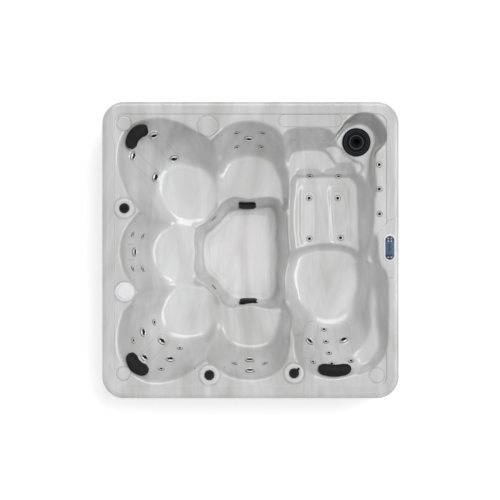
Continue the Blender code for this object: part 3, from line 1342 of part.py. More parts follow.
def build_heater():
    """The heater tube with its union nuts, on two saddles."""
    half = HEATER_LENGTH / 2
    tube = turned("heater", [
        (0.0, half), (HEATER_NUT_RADIUS, half), (HEATER_NUT_RADIUS, half - HEATER_NUT_LENGTH),
        (HEATER_RADIUS, half - HEATER_NUT_LENGTH), (HEATER_RADIUS, HEATER_NUT_LENGTH - half),
        (HEATER_NUT_RADIUS, HEATER_NUT_LENGTH - half), (HEATER_NUT_RADIUS, -half), (0.0, -half)],
        ROUND_STEPS)
    tube.transform(Matrix.Rotation(math.tau / 4, 4, "Y"))
    drop = HEATER_AXIS_HEIGHT - BASE_FLOOR - FIT
    saddle = (HEATER_NUT_LENGTH, HEATER_RADIUS * 2, drop)
    left = box_mesh("saddle_left", saddle, (-half / 2, 0.0, -drop / 2))
    right = box_mesh("saddle_right", saddle, (half / 2, 0.0, -drop / 2))
    item = new_object("heater", joined_mesh("heater", tube, left, right), STEEL)
    item.location = (*share_place(HEATER_PLACE_SHARES), HEATER_AXIS_HEIGHT)
    smooth(item)


def build_control_box():
    """The equipment controller: a box with an overhanging lid."""
    body = box_mesh("control_body", (CONTROL_WIDTH, CONTROL_LENGTH, CONTROL_HEIGHT),
                    (0.0, 0.0, CONTROL_HEIGHT / 2))
    lid = box_mesh("control_lid", (CONTROL_WIDTH + CONTROL_LID, CONTROL_LENGTH + CONTROL_LID,
                                   CONTROL_LID), (0.0, 0.0, CONTROL_HEIGHT))
    item = new_object("control_box", joined_mesh("control_box", body, lid), HOUSING)
    item.location = (*share_place(CONTROL_PLACE_SHARES), BASE_FLOOR + FIT)
    add_bevel(item, CONTROL_LID / 5, 2)


def build_pipes():
    """The pipes from each suction cover to its pump, and from a pump to the heater."""
    inlet = Vector((-VOLUTE_LENGTH - PORT_LENGTH - FIT * 2, 0.0, 0.0))
    for name, cover, pump in (("suction_pipe_1", "suction_cover_bottom", "jet_pump_1"),
                              ("suction_pipe_2", "suction_cover_top", "jet_pump_2")):
        frame = suction_frame(cover)
        start = frame @ Vector((0.0, 0.0, -SUCTION_BARREL_LENGTH - FIT * 2))
        away = frame.to_3x3() @ Vector((0.0, 0.0, -1.0))
        spot = share_place(PUMP_PLACE_SHARES[pump])
        end = Vector((*spot, PUMP_AXIS_HEIGHT)) + inlet
        build_pipe(name, start, away, end, Vector((-1.0, 0.0, 0.0)))
    outlet = Vector((*share_place(PUMP_PLACE_SHARES["jet_pump_2"]), PUMP_AXIS_HEIGHT))
    outlet += Vector((-VOLUTE_LENGTH / 2, 0.0, VOLUTE_RADIUS + PORT_LENGTH + FIT * 2))
    tail = Vector((*share_place(HEATER_PLACE_SHARES), HEATER_AXIS_HEIGHT))
    tail.x -= HEATER_LENGTH / 2 + FIT * 2
    build_pipe("heater_pipe", outlet, Vector((0.0, 0.0, 1.0)), tail, Vector((-1.0, 0.0, 0.0)))


def build_pipe(name, start, away, end, back):
    """A smooth tube that leaves and arrives straight, through its bends."""
    lead = PORT_LENGTH / 2
    stations = [start, start + away * lead, start + away * lead * 2]
    stations += [share_place(bend) for bend in PIPE_BEND_SHARES[name]]
    stations += [end + back * lead * 2, end + back * lead, end]
    count = len(stations)
    points = []
    for k in range(count - 1):
        before = stations[max(k - 1, 0)]
        after = stations[min(k + 2, count - 1)]
        first = stations[k]
        second = stations[k + 1]
        steps = 1 if k in (0, count - 2) else 3
        for step in range(steps):
            u = step / steps
            points.append(0.5 * (2 * first + (second - before) * u
                                 + (2 * before - 5 * first + 4 * second - after) * u ** 2
                                 + (3 * first - before - 3 * second + after) * u ** 3))
    points.append(end)
    curve = bpy.data.curves.new(name, "CURVE")
    curve.dimensions = "3D"
    curve.bevel_depth = PIPE_RADIUS
    curve.bevel_resolution = 2
    curve.use_fill_caps = True
    curve.materials.append(PVC)
    spline = curve.splines.new("POLY")
    spline.points.add(len(points) - 1)
    for point, spot in zip(spline.points, points):
        point.co = (*spot, 1.0)
    PARTS.objects.link(bpy.data.objects.new(name, curve))


build_pillows()
build_jets()
build_valves()
build_cap()
build_filter()
build_panel()
build_suctions()
build_base()
build_frame()
build_cabinet()
for pump_name, pump_shares in PUMP_PLACE_SHARES.items():
    build_pump(pump_name, share_place(pump_shares))
build_heater()
build_control_box()
build_pipes()
build_shell()
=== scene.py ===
"""A square acrylic hot tub seen from straight above: its shell, fittings, pillows, cabinet and studio.

Metres, +Z up. The photograph's right is +X and its top is +Y.
"""
import json
import math

import bmesh
import bpy
import numpy as np
from mathutils import Matrix, Vector


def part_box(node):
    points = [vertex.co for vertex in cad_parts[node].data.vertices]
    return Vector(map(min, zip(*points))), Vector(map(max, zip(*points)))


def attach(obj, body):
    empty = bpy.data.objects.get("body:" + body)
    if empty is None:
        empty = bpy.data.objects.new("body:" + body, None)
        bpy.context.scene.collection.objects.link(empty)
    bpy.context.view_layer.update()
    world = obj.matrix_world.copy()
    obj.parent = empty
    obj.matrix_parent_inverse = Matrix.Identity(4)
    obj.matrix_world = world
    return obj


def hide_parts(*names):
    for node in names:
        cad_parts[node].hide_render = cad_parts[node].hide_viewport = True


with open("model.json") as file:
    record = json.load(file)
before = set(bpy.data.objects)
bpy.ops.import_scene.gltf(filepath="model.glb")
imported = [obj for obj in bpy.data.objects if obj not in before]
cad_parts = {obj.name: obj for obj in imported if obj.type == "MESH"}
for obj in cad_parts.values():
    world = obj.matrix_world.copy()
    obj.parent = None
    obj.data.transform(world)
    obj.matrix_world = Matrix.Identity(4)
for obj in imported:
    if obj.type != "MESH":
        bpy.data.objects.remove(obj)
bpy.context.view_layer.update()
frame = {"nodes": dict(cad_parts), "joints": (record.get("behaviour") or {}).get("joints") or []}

# Overall sizes, as in the CAD
TUB_WIDTH = 2.100
RIM_TOP = 0.900
DECK = 0.890
CORNER_RADIUS = 0.155
SHELL_WALL = 0.012
CORNER_CENTRE = TUB_WIDTH / 2 - CORNER_RADIUS

# The photograph's frame: the rim spans this many pixels of a 500 pixel picture
PICTURE_PX = 500.0
RIM_SPAN_PX = 297.0
CENTRE_X_PX = 250.5
CENTRE_Y_PX = 250.0
METRES_PER_PX = TUB_WIDTH / RIM_SPAN_PX

# The shell's skin
GRID_LINES = 236
GRID_REACH = 0.9505
NOMINAL_STEP = 0.006
UNDER_STRIDE = 6
UNDER_RING = 11
TURN_STEPS = 720
SEAT_DISH = 0.010
EDGE_SOFT = 0.020
CREASE_SOFT = 0.034
LEDGE_SOFT = 0.010
PAD_RISE = 0.003
PAD_RADIUS = 0.078
BOSS_BLEND = 0.006
SMOOTH_PASSES = 1
CREASE_PASSES = 12
SOFT_BELOW = 0.050
SOFT_CLEAR = 0.022
TRAY_CORNER_PX = (289, 262)
SEAT_RING_POINTS = 12

# Rings of the rim past the grid: distance from the middle, and drop below the rim's top
RIM_RINGS = [
    (0.9550, 0.0100), (0.9580, 0.0098), (0.9596, 0.0088), (0.9612, 0.0062), (0.9628, 0.0032),
    (0.9644, 0.0010), (0.9665, 0.0001), (0.9720, 0.0), (0.9800, 0.0), (0.9880, 0.0), (0.9960, 0.0),
    (1.0040, 0.0), (1.0120, 0.0), (1.0180, 0.0), (1.0214, 0.0001), (1.0230, 0.0012),
    (1.0246, 0.0028), (1.0290, 0.0042), (1.0345, 0.0064), (1.0395, 0.0098), (1.0440, 0.0148),
    (1.0476, 0.0216), (1.0496, 0.0300), (1.0500, 0.0400), (1.0500, 0.0570), (1.0490, 0.0596),
    (1.0470, 0.0600), (1.0400, 0.0600), (1.0380, 0.0590), (1.0380, 0.0220)]
FLAT_RINGS = 15

# Fittings
JET_RADIUS = 0.0325
JET_THICK = 0.008
SMALL_JET_RADIUS = 0.0215
SMALL_JET_RISE = 0.0045
SEAT_BLEND = 0.010
FINE_STEPS = 64
PLATE_RADIUS = 0.0655
PLATE_THICK = 0.006
KNOB_RADIUS = 0.0365
KNOB_HEIGHT = 0.026
CAP_RADIUS = 0.055
CAP_HEIGHT = 0.009
FILTER_LID_RADIUS = 0.101
FILTER_LID_THICK = 0.014
FILTER_HOLE_RADIUS = 0.038
FILTER_PIT_TOP = 0.090
FILTER_PIT_RADIUS = 0.082
FILTER_PIT_DEPTH = 0.325
FIT = 0.0003
BEAD_RADIUS = 0.0016
LENS_RADIUS = 0.0045
COVERS = ("suction_cover_top", "suction_cover_bottom")
COVER_WIDTH = 0.124
COVER_LENGTH = 0.174
COVER_BARREL = 0.045
COVER_THICK = 0.020
COVER_LIFT = 1.35
COVER_BAR = 0.007
COVER_BARS = 7
CORNER_POINTS = 16
STADIUM_POINTS = 12
BEAD_SIDES = 6
LINE_STEP = 0.008
KNOB_GRIPS = 8
KNOB_SCALLOP = 0.10
LID_RINGS = 4
LID_RIBS = [(0.47, 0.0028), (0.74, 0.0016), (0.86, 0.0016)]
CARTRIDGE_CORE = 0.026
CARTRIDGE_END = 0.012
PLEATS = 48
PLEAT_FOLD = 0.10

PILLOWS = ("pillow_tl", "pillow_bl", "pillow_lounge")
PILLOW_VOXEL = 0.005
PILLOW_SMOOTH = 12
PILLOW_SMOOTH_SHARE = 0.5
PUFF_FRAMES = 20
PUFF_PRESSURE = 4.0
PUFF_QUALITY = 6
PUFF_LIMIT = 0.010
INWARD = {"pillow_tl": (1.0, -1.0), "pillow_bl": (1.0, 1.0), "pillow_lounge": (0.0, 1.0)}
BOW_BINS = 24
BOW_MATCH = 0.72
BOW_FILL = 0.42
BOW_OUT = 0.012
END_START = 0.60
END_ROUND = 0.90
END_STRETCH = 1.06
FLOOR_BEAD = 0.0025
BUMP_DEPTH = 0.001
SCREEN_HALF = 0.087
BALL_RISE = 0.40
LINE_BEAD = 0.0018
PANEL_KEYS = 6
NOZZLE_SHIFT = 0.06
KNOB_FACE = 0.55
CROWN_FACE = 0.48
CROWN_FOOT = 0.52
TONGUE_WIDTH = 0.48
TONGUE_LENGTH = 0.9
TONGUE_CORNER = 0.2
TONGUE_TURN = -45
DISC_FOOT = 0.86
CAP_BORE = 0.7
SOCKET_RISE = 0.4
LID_REACH = 0.97
LID_RIB_RISE = 1.08
PLEAT_STEPS = PLEATS * 4
PAPER_CORE = 1.08
PAPER_REACH = 0.98
TUBE_REACH = 1.06
END_REACH = 0.96
GRILLE_LENGTH = 0.72
DISPLAY_SHARES = (0.20, 0.34, 0.09)
DISPLAY_SHIFT = 0.03

# Profiles of turned forms: rows of radius and height, as shares of the form's own
JET_FOOT = FIT / JET_THICK
JET_EDGE_ROWS = [(0.93, 0.50), (0.96, 0.58), (1.0, 0.30), (1.0, JET_FOOT), (0.93, JET_FOOT)]
JET_FLANGE_ROWS = [(0.78, 0.72), (0.80, 0.96), (0.84, 1.0), (0.90, 0.90), (0.93, 0.70),
                   (0.93, JET_FOOT), (0.78, JET_FOOT)]
# The groove ring takes the black finish: painted shade in the groove between flange and steel ring
JET_GROOVE_SHADE_ROWS = [(0.70, 0.42), (0.78, 0.42), (0.78, JET_FOOT * 2), (0.70, JET_FOOT * 2)]
BALL_SHARE = 0.55
JET_RING_ROWS = [(BALL_SHARE, 0.62), (0.58, 0.98), (0.62, 1.10), (0.67, 1.0), (0.70, 0.66),
                 (0.70, JET_FOOT), (BALL_SHARE, JET_FOOT)]
SMALL_FLANGE_ROWS = [(0.50, 0.5), (0.54, 0.9), (0.62, 1.0), (0.76, 0.98), (0.82, 0.85),
                     (0.82, -0.25), (0.50, -0.25)]
SMALL_EDGE_ROWS = [(0.82, 0.75), (0.90, 0.8), (1.0, 0.2), (1.0, -0.25), (0.82, -0.25)]
SMALL_MOUTH_ROWS = [(0.0, 0.9), (0.30, 0.85), (0.44, 0.6), (0.50, 0.4), (0.50, -0.25), (0.0, -0.25)]
LENS_ROWS = [(0.0, 0.5), (0.6, 0.38), (1.0, 0.0), (1.0, -1.0), (0.0, -1.0)]
DISC_ROWS = [(0.0, 0.5), (0.6, 0.45), (0.8, 0.3)]
PLATE_ROWS = [(0.62, 0.8), (0.66, 1.0), (0.90, 1.0), (0.96, 0.85), (1.0, 0.45), (1.0, 0.0)]
KNOB_ROWS = [(0.72, 0.98), (0.86, 0.90), (0.94, 0.6), (0.97, 0.25), (1.0, 0.14), (1.0, 0.0), (0.0, 0.0)]
SOCKET_ROWS = [(0.9, SOCKET_RISE), (0.97, 0.3), (1.0, 0.0)]
CAP_ROWS = [(0.0, 0.78), (0.05, 0.80), (0.075, 1.0), (0.5, 1.0), (0.80, 0.94), (0.92, 0.76),
            (0.98, 0.45), (1.0, 0.2), (1.0, 0.0), (0.0, 0.0)]
LID_RING_ROWS = [(0.12, 0.62), (0.22, 0.96), (0.45, 1.0), (0.68, 0.96), (0.80, 0.62)]
LID_EDGE_ROWS = [(0.985, 0.6), (1.0, 0.4), (1.0, 0.0)]
LID_HOLE_RISE = 0.45

# How much of the scallop each row of a knob has
KNOB_GRIP_ROWS = (0, 0, 1, 1, 1, 1, 0.4, 0, 0)

# Profiles of blocks: rows of inset, as a share of a width or thickness, and height
COVER_ROWS = [(0.25, -1.0), (0.125, 0.0), (0.0, 0.15), (0.0, 0.55), (0.15, 0.85), (0.45, 1.0)]
COVER_BAR_ROWS = [(0.0, 0.9), (0.0, 1.08), (0.25, 1.14)]
BEZEL_ROWS = [(0.0, 0.0), (0.0, 0.35), (0.015, 0.7), (0.05, 0.95), (0.08, 1.0), (0.135, 1.0),
              (0.15, 0.94)]

# The diverter's tongue: inset in metres, and height as a share of the knob's
TONGUE_ROWS = [(FIT * 4, 0.3), (0.0, 0.4), (0.0, 0.7), (FIT * 6, 0.8)]

# A pad's inset from its edge and height over the deck, as shares of its rise
PAD_ROWS = [(3.0, 1.0), (2.0, 0.1), (1.0, 1.0), (0.0, -0.2), (0.0, -1.0)]

# A key's radius as a share of its own, and drop below its top in fits
KEY_ROWS = [(0.0, 0), (0.6, 0), (0.85, 2), (1.0, 5)]

# The acrylic's streaks: scale, stretch and warp of each noise
STREAKS = [(1.7, (1.0, 0.34, 0.5), 2.2), (4.2, (1.0, 0.22, 0.3), 1.5)]
STREAK_DETAIL = 5.0
STREAK_ROUGH = 0.55
STREAK_REACH = (0.72, 1.22)
PEARL_COAT = 0.8
PEARL_COAT_ROUGH = 0.13
PEARL_GLOSS = 0.25
PEARL_ROUGH = (0.16, 0.26)
CLOUD_DETAIL = 6.0
CLOUD_REACH = (0.25, 0.75)
BAND_REACH = (0.25, 0.85)

# Studio
FLOOR_WIDTH = 60.0
FLOOR_GLOW = 0.62
FLOOR_SHADE = 0.80
FLOOR_ROUGH = 0.9
WORLD_LIGHT = 0.29
SUN_POWER = 1.98
SUN_SPREAD = 26.0
SUN_LEAN = 12.0
BOX_AWAY = 3.2
BOX_HEIGHT = 3.9
BOX_SIZE = (4.4, 1.9)
BOX_POWER = 125.0
BOX_SHIFT = 0.8
BACK_BOX_SHARE = 0.9
FRONT_BOX_SHARE = 0.25
SNOOT_SIZE = (0.42, 0.60)
SNOOT_SPREAD = 5.0
SNOOT_POWER = 0.17
BROAD_SIZE = (1.4, 2.2)
BROAD_PLACE = (-1.9, -1.1, 2.9)
BROAD_POWER = 3.0
LIGHT_AIM = 0.6
CAMERA_HEIGHT = 40.9
SENSOR = 36.0

# Heights of the floors
CORNER_SEAT = DECK - 0.450
TOP_SEAT = DECK - 0.420
SIDE_SEAT = DECK - 0.430
LOUNGE_SEAT = DECK - 0.440
LEG_TRAY = DECK - 0.355
CALF_TROUGH = 0.018
CALF_LIP = 0.009
FOOT_STEP = DECK - 0.270
LEDGE = DECK - 0.230
PLATFORM = DECK - 0.190
ARM_LEDGE = DECK - 0.150
FOOTWELL = DECK - 0.760
FOOTWELL_WALL = 0.370

# Hollows of the shell: outlines as photograph pixels, each read as a radius about its centre
CORNER_TL_PX = dict(
    centre=(190, 196), spans=(26, 26),
    pan=[(163, 189), (167, 182), (173, 176), (181, 171.5), (190, 169.5), (202, 171), (210, 178),
         (213, 190), (211, 206), (200, 219), (186, 220), (172, 214), (164, 203)],
    rim=[(125.5, 189.3), (118.5, 170.2), (117.2, 154.2), (119.5, 140), (127, 127), (141, 119.8),
         (160.6, 117.5), (179.7, 122.3), (196, 131.5), (213, 142), (232, 160), (238, 185),
         (232, 215), (215, 238), (188, 246), (160, 236), (140, 212)])
SEAT_TOP_PX = dict(
    centre=(252, 188), spans=(29, 28),
    pan=[(224, 176), (229, 166), (238.3, 161.2), (251, 160.3), (264, 161.9), (274, 167), (281, 178),
         (284, 195), (278, 212), (252, 218), (228, 212), (220, 195)],
    rim=[(206, 146), (219, 133), (225.5, 126.8), (235, 122.3), (251, 120.5), (264, 123),
         (275.3, 128.7), (283, 135.7), (289.3, 144.6), (292.5, 163.8), (296, 190), (290, 225),
         (252, 240), (212, 228), (197, 200), (196, 172)])
SEAT_LEFT_PX = dict(
    centre=(182, 253.5), spans=(27, 24),
    pan=[(166.6, 230), (159, 238), (155.3, 247), (155.1, 256), (158.1, 266.5), (165, 277),
         (180, 279), (197, 273), (208, 262), (209, 248), (200, 235), (182, 228)],
    rim=[(137, 214), (129.1, 223.7), (123.7, 232.8), (120.7, 243.6), (119.9, 253.5),
         (121.4, 262.7), (125.2, 273.4), (131, 283), (145, 299), (170, 308), (202, 302),
         (226, 278), (231, 250), (222, 222), (200, 205), (170, 199), (150, 204)])
CORNER_BL_PX = dict(
    centre=(190, 311), spans=(26, 25),
    pan=[(165, 311.5), (170.2, 321), (179.7, 330), (192, 335.5), (204, 334), (212, 323),
         (214, 308), (208, 293), (194, 287), (178, 289), (168, 298)],
    rim=[(131, 303), (123, 313), (118.4, 328.7), (117.5, 345), (120, 359), (128, 371),
         (141, 380), (157, 382.5), (175.5, 379.5), (193, 369.5), (207, 360), (226, 346),
         (238, 325), (236, 295), (222, 272), (192, 262), (160, 268), (141, 288)])
SEAT_BOTTOM_PX = dict(
    centre=(252, 318), spans=(29, 26),
    pan=[(223, 326), (227, 336), (235.1, 343), (245, 345), (256, 345.3), (267, 343.4),
         (276, 337), (281, 325), (281, 308), (272, 294), (252, 289), (232, 293), (222, 308)],
    rim=[(207, 362), (219, 369), (225.5, 374), (238.3, 378.8), (251, 380), (263.8, 378.4),
         (276.5, 372.7), (284, 365), (288.5, 350), (289.5, 330), (292, 300), (280, 275),
         (252, 266), (216, 276), (199, 300), (197, 335)])
LEG_TRAY_PX = dict(
    centre=(327, 215), spans=(30, 38),
    pan=[(299, 178.5), (306, 177), (313, 177), (320, 177), (328, 177), (336, 177), (343, 177.5),
         (351, 178), (356.5, 184), (358, 200), (359, 220), (359.5, 235), (359, 252), (352, 258),
         (328, 260), (303, 260), (298, 250), (297, 232), (296.5, 215), (297, 197)],
    rim=[(250, 200), (262, 174), (285, 163), (300, 162.5), (320, 162), (340, 162), (355, 161),
         (366, 164), (372.5, 176), (374, 200), (374, 216), (372, 235), (372, 255), (370, 285),
         (330, 292), (290, 290), (258, 262), (248, 232)])
LOUNGE_PX = dict(
    centre=(328, 286), spans=(30, 29),
    pan=[(299, 268), (298, 290), (300, 303), (310.6, 311), (323.6, 313.7), (337.4, 312.2),
         (349, 306.5), (357, 294), (359, 275), (356, 262), (345, 255), (328, 254), (312, 255),
         (303, 259)],
    rim=[(262, 262), (272, 295), (288, 318), (294.5, 338), (296, 356), (303, 369), (317, 377),
         (334, 379.5), (352, 376), (362, 371), (372, 362.5), (378.8, 347.6), (379.4, 334),
         (376, 322), (373.5, 309), (372.8, 295), (375, 272), (371.5, 260), (369.6, 236),
         (345, 222), (312, 222), (284, 232)])
ARM_PX = dict(
    centre=(366, 310), spans=(14, 44),
    pan=[(371.5, 262), (376.6, 271.6), (374.4, 284), (374.0, 295), (374.8, 309), (377.2, 321),
         (380.6, 334), (380, 348), (374.5, 360), (367, 367), (358, 366), (352, 340), (351, 310),
         (352, 280), (357, 262), (364, 257)],
    rim=[(374, 232), (377.5, 240), (378, 255), (380, 264), (383, 267.5), (386.4, 273.8),
         (387.5, 279.2), (388.2, 300), (388.2, 322.6), (387.6, 340), (386, 351), (382, 359),
         (375.5, 366), (366, 371.5), (356, 373), (346, 345), (345, 310), (346, 275), (352, 252),
         (362, 238)])
FOOT_STEP_PX = dict(
    centre=(311, 168), spans=(20, 14),
    pan=[(290.5, 157), (294, 152.5), (302, 151.5), (312, 151.2), (321, 151.5), (326, 153),
         (330, 158), (334, 163), (339, 169), (344, 178), (340, 190), (311, 190), (290, 185),
         (289.5, 170)],
    rim=[(278, 150), (281, 137), (288, 129.5), (296, 127.5), (304, 127), (312, 127), (320, 127),
         (328, 128.5), (334, 134), (341, 144), (350, 157), (358, 172), (362, 190), (330, 215),
         (300, 215), (272, 200), (273, 170)])
LEDGE_PX = dict(
    centre=(340, 168), spans=(20, 16),
    pan=[(328, 147), (334, 145.5), (340.4, 149), (345, 156), (352.7, 161.3), (360, 163.5),
         (362, 167), (357, 174), (340, 182), (316, 178), (314, 160), (321, 149)],
    rim=[(327, 137), (340, 134.5), (352, 141), (361, 149), (370, 154), (373, 160), (373, 167),
         (372, 174), (371, 182), (370, 190), (369, 200), (340, 212), (300, 195), (296, 150),
         (312, 136)])
FILTER_WELL_PX = dict(
    centre=(357, 143), spans=(18, 18),
    pan=[(336, 143), (339, 136), (345, 129), (355.9, 125.3), (366, 127), (373, 134), (374, 145),
         (371.5, 156), (369, 168), (360, 180), (345, 178), (334, 160)],
    rim=[(330, 144), (334, 140), (341.2, 129.1), (346.6, 120.7), (355, 114.5), (364.2, 112.4),
         (374.1, 114.5), (381.8, 120.7), (386.2, 130.6), (386, 141.3), (381.8, 147.4),
         (375.6, 152.8), (374.5, 168), (372, 205), (340, 215), (316, 180)])
FOOTWELL_PX = dict(
    centre=(243, 252), spans=(37, 48),
    pan=[(229.8, 211.6), (245, 209), (262, 207.5), (273, 207.5), (276, 215), (276.5, 240),
         (276.8, 270), (276, 291), (270, 298.6), (250, 298.6), (233, 298.4), (225, 291),
         (217.3, 282), (206, 271), (203.5, 262), (203.5, 243), (206, 235), (214, 228),
         (222, 220)],
    rim=[(226.5, 198.5), (231.4, 196.4), (247.2, 198.4), (260, 197), (270, 196.2), (280, 200),
         (284.5, 212), (286.2, 240), (285, 273), (283, 298), (281.2, 309), (272.1, 310.2),
         (259.6, 307.7), (248.8, 306.1), (238.9, 307.3), (230.6, 309), (225.6, 306.5),
         (216.5, 295.3), (207.4, 286.2), (196, 277), (192.9, 269.6), (194.6, 252.2),
         (192.9, 236.4), (194.6, 229.3), (204.1, 221.5), (213.2, 213.2), (220.7, 204.1)])

# Fillet shares: how much of a wall's run its foot curves through
SEAT_FILLET_SHARE = 0.34
STEP_FILLET_SHARE = 0.10
WELL_FILLET_SHARE = 0.22
ARM_FILLET_SHARE = 0.25

# Each hollow: outline, floor height, rise of its wall, fillet share, softness of its edges
HOLLOWS = [
    (CORNER_TL_PX, CORNER_SEAT, DECK - CORNER_SEAT, SEAT_FILLET_SHARE, EDGE_SOFT),
    (SEAT_TOP_PX, TOP_SEAT, DECK - TOP_SEAT, SEAT_FILLET_SHARE, CREASE_SOFT),
    (SEAT_LEFT_PX, SIDE_SEAT, DECK - SIDE_SEAT, SEAT_FILLET_SHARE, CREASE_SOFT),
    (CORNER_BL_PX, CORNER_SEAT, DECK - CORNER_SEAT, SEAT_FILLET_SHARE, CREASE_SOFT),
    (SEAT_BOTTOM_PX, SIDE_SEAT, DECK - SIDE_SEAT, SEAT_FILLET_SHARE, CREASE_SOFT),
    (FILTER_WELL_PX, PLATFORM, DECK - PLATFORM, WELL_FILLET_SHARE, LEDGE_SOFT),
    (LEDGE_PX, LEDGE, DECK - LEDGE, STEP_FILLET_SHARE, LEDGE_SOFT),
    (FOOT_STEP_PX, FOOT_STEP, DECK - FOOT_STEP, STEP_FILLET_SHARE, LEDGE_SOFT),
    (LEG_TRAY_PX, LEG_TRAY, DECK - LEG_TRAY, STEP_FILLET_SHARE, LEDGE_SOFT),
    (ARM_PX, ARM_LEDGE, DECK - ARM_LEDGE, ARM_FILLET_SHARE, LEDGE_SOFT),
    (LOUNGE_PX, LOUNGE_SEAT, DECK - LOUNGE_SEAT, SEAT_FILLET_SHARE, EDGE_SOFT),
    (FOOTWELL_PX, FOOTWELL, FOOTWELL_WALL, WELL_FILLET_SHARE, EDGE_SOFT)]

# Calf troughs of the lounger: centre, half spans and lean of their axis, photograph pixels
CALF_TROUGHS_PX = [((309, 215), (10.0, 35), 0.0), ((340.5, 215), (12.5, 35), 0.055)]
TROUGH_POWER = 6
TROUGH_PAN_SHARE = 0.72
TROUGH_RISE_POWER = 1.5

# Where the fittings sit, photograph pixels
SMALL_JETS_PX = [
    (236.7, 132.8), (262.5, 132.8), (236.7, 146.2), (261.5, 146.2),
    (132.5, 234.4), (142.3, 236.3), (132.5, 268.8), (142.3, 269.2),
    (153.3, 323.0), (132.8, 340.8), (179.1, 349.1), (160.9, 369.2),
    (234.4, 363.8), (265.1, 363.8),
    (324.6, 330.2), (326.5, 342.3), (329.3, 353.5), (313.1, 362.1), (351.5, 361.2),
    (331.9, 364.0), (310.2, 175.4), (339.3, 175.4),
    (309.7, 197.7), (338.5, 197.7), (310.0, 238.6), (341.4, 237.7),
    (213.6, 218.0), (213.6, 287.2), (379.2, 164.6), (379.3, 189.0), (379.6, 213.9)]
LIGHT_LENSES_PX = [
    (221.4, 135.3), (276.7, 135.3), (294.3, 139.9), (323.8, 140.2), (135.3, 221.4),
    (134.2, 279.9), (132.5, 306.7), (194.8, 368.4), (224.4, 367.3), (273.7, 368.4),
    (369.9, 231.2), (376.6, 274.9), (378.0, 304.4), (379.7, 332.2), (303.6, 359.3)]
AIR_KNOB_LEFT_PX = (124.3, 208.2)
AIR_KNOB_BOTTOM_PX = (209.4, 375.1)
DIVERTER_PX = (294.1, 373.3)
CAP_PX = (124.6, 291.8)
FILTER_PX = (356.9, 141.7)
PANEL_PX = (389.8, 247.9)
PANEL_BOSS_PX = [(394, 219), (388.1, 220), (385.3, 224.6), (377.2, 234.4), (376.4, 243),
                 (376.6, 259), (378.9, 264.2), (384.1, 269.9), (387.6, 277.4), (394, 278)]
BLANK_DISCS_PX = [((208.0, 125.8), 9.6), ((123.9, 123.3), 6.4), ((376.8, 375.3), 6.5),
                  ((123.6, 373.4), 6.0)]
DECK_RECESS_PX = ((285.0, 120.5), (336.0, 120.5), 6.3)
FLOOR_LINE_PX = [(234.8, 214), (267.1, 214), (271.2, 218.2), (271.4, 255), (271.2, 286.2),
                 (270.4, 295.3), (231.4, 292.8), (209.9, 269.6), (209, 253), (209, 238.1),
                 (215.7, 233.1), (228.1, 220.7)]
SEAT_MARKS_PX = [[(127.6, 244.3), (133.4, 244.3)], [(127.6, 259.4), (133.4, 259.4)]]
DECK_FITTINGS_PX = [AIR_KNOB_LEFT_PX, AIR_KNOB_BOTTOM_PX, DIVERTER_PX, CAP_PX]
DISC_LIP_PX = 1.2
DISC_RING_PX = 1.35
PAD_RING_PX = 0.15

# Shallow channels that join jets down a seat's back: two ends and a half width
CHANNELS_PX = [((153.6, 135.1), (173.3, 158.0), 5.2), ((133.2, 155.5), (154.8, 176.5), 5.2),
               ((161.2, 341.5), (144.3, 357.7), 6.4), ((311.5, 329.0), (308.6, 352.0), 7.0),
               ((342.5, 329.0), (346.0, 352.0), 7.2)]
CHANNEL_DEPTH = 0.0022
CHANNEL_LIP_PX = 0.5
CALF_SLOTS_PX = [((309.4, 197.5), (309.4, 240.0), 6.8), ((338.7, 197.5), (342.0, 240.0), 7.0)]


def place(px):
    """World X and Y of a photograph pixel."""
    return Vector(((px[0] - CENTRE_X_PX) * METRES_PER_PX, (CENTRE_Y_PX - px[1]) * METRES_PER_PX))


def turn_table(points, centre, spans):
    """Radii, in spans, at even steps of a turn, on a smooth closed curve through the points."""
    across = (np.array([p[0] for p in points], float) - centre[0]) / spans[0]
    up = (centre[1] - np.array([p[1] for p in points], float)) / spans[1]
    angles = np.arctan2(up, across) % math.tau
    radii = np.hypot(across, up)
    order = np.argsort(angles)
    angles = angles[order]
    radii = radii[order]
    angles = np.concatenate([angles[-3:] - math.tau, angles, angles[:3] + math.tau])
    radii = np.concatenate([radii[-3:], radii, radii[:3]])
    steps = np.diff(angles)
    rises = np.diff(radii) / steps
    slopes = np.zeros(len(radii))
    for k in range(1, len(radii) - 1):
        if rises[k - 1] * rises[k] > 0:
            before = 2 * steps[k] + steps[k - 1]
            after = steps[k] + 2 * steps[k - 1]
            slopes[k] = (before + after) / (before / rises[k - 1] + after / rises[k])
    turn = np.arange(TURN_STEPS) * math.tau / TURN_STEPS
    k = np.clip(np.searchsorted(angles, turn, side="right") - 1, 0, len(steps) - 1)
    u = (turn - angles[k]) / steps[k]
    start = (2 * u ** 3 - 3 * u ** 2 + 1) * radii[k]
    leave = (u ** 3 - 2 * u ** 2 + u) * steps[k] * slopes[k]
    end = (3 * u ** 2 - 2 * u ** 3) * radii[k + 1]
    arrive = (u ** 3 - u ** 2) * steps[k] * slopes[k + 1]
    return start + leave + end + arrive


def read_table(table, angle):
    """A turn table's value at any angle."""
    where = (angle % math.tau) * TURN_STEPS / math.tau
    low = where.astype(int) % TURN_STEPS
    part = where - np.floor(where)
    return table[low] * (1 - part) + table[(low + 1) % TURN_STEPS] * part


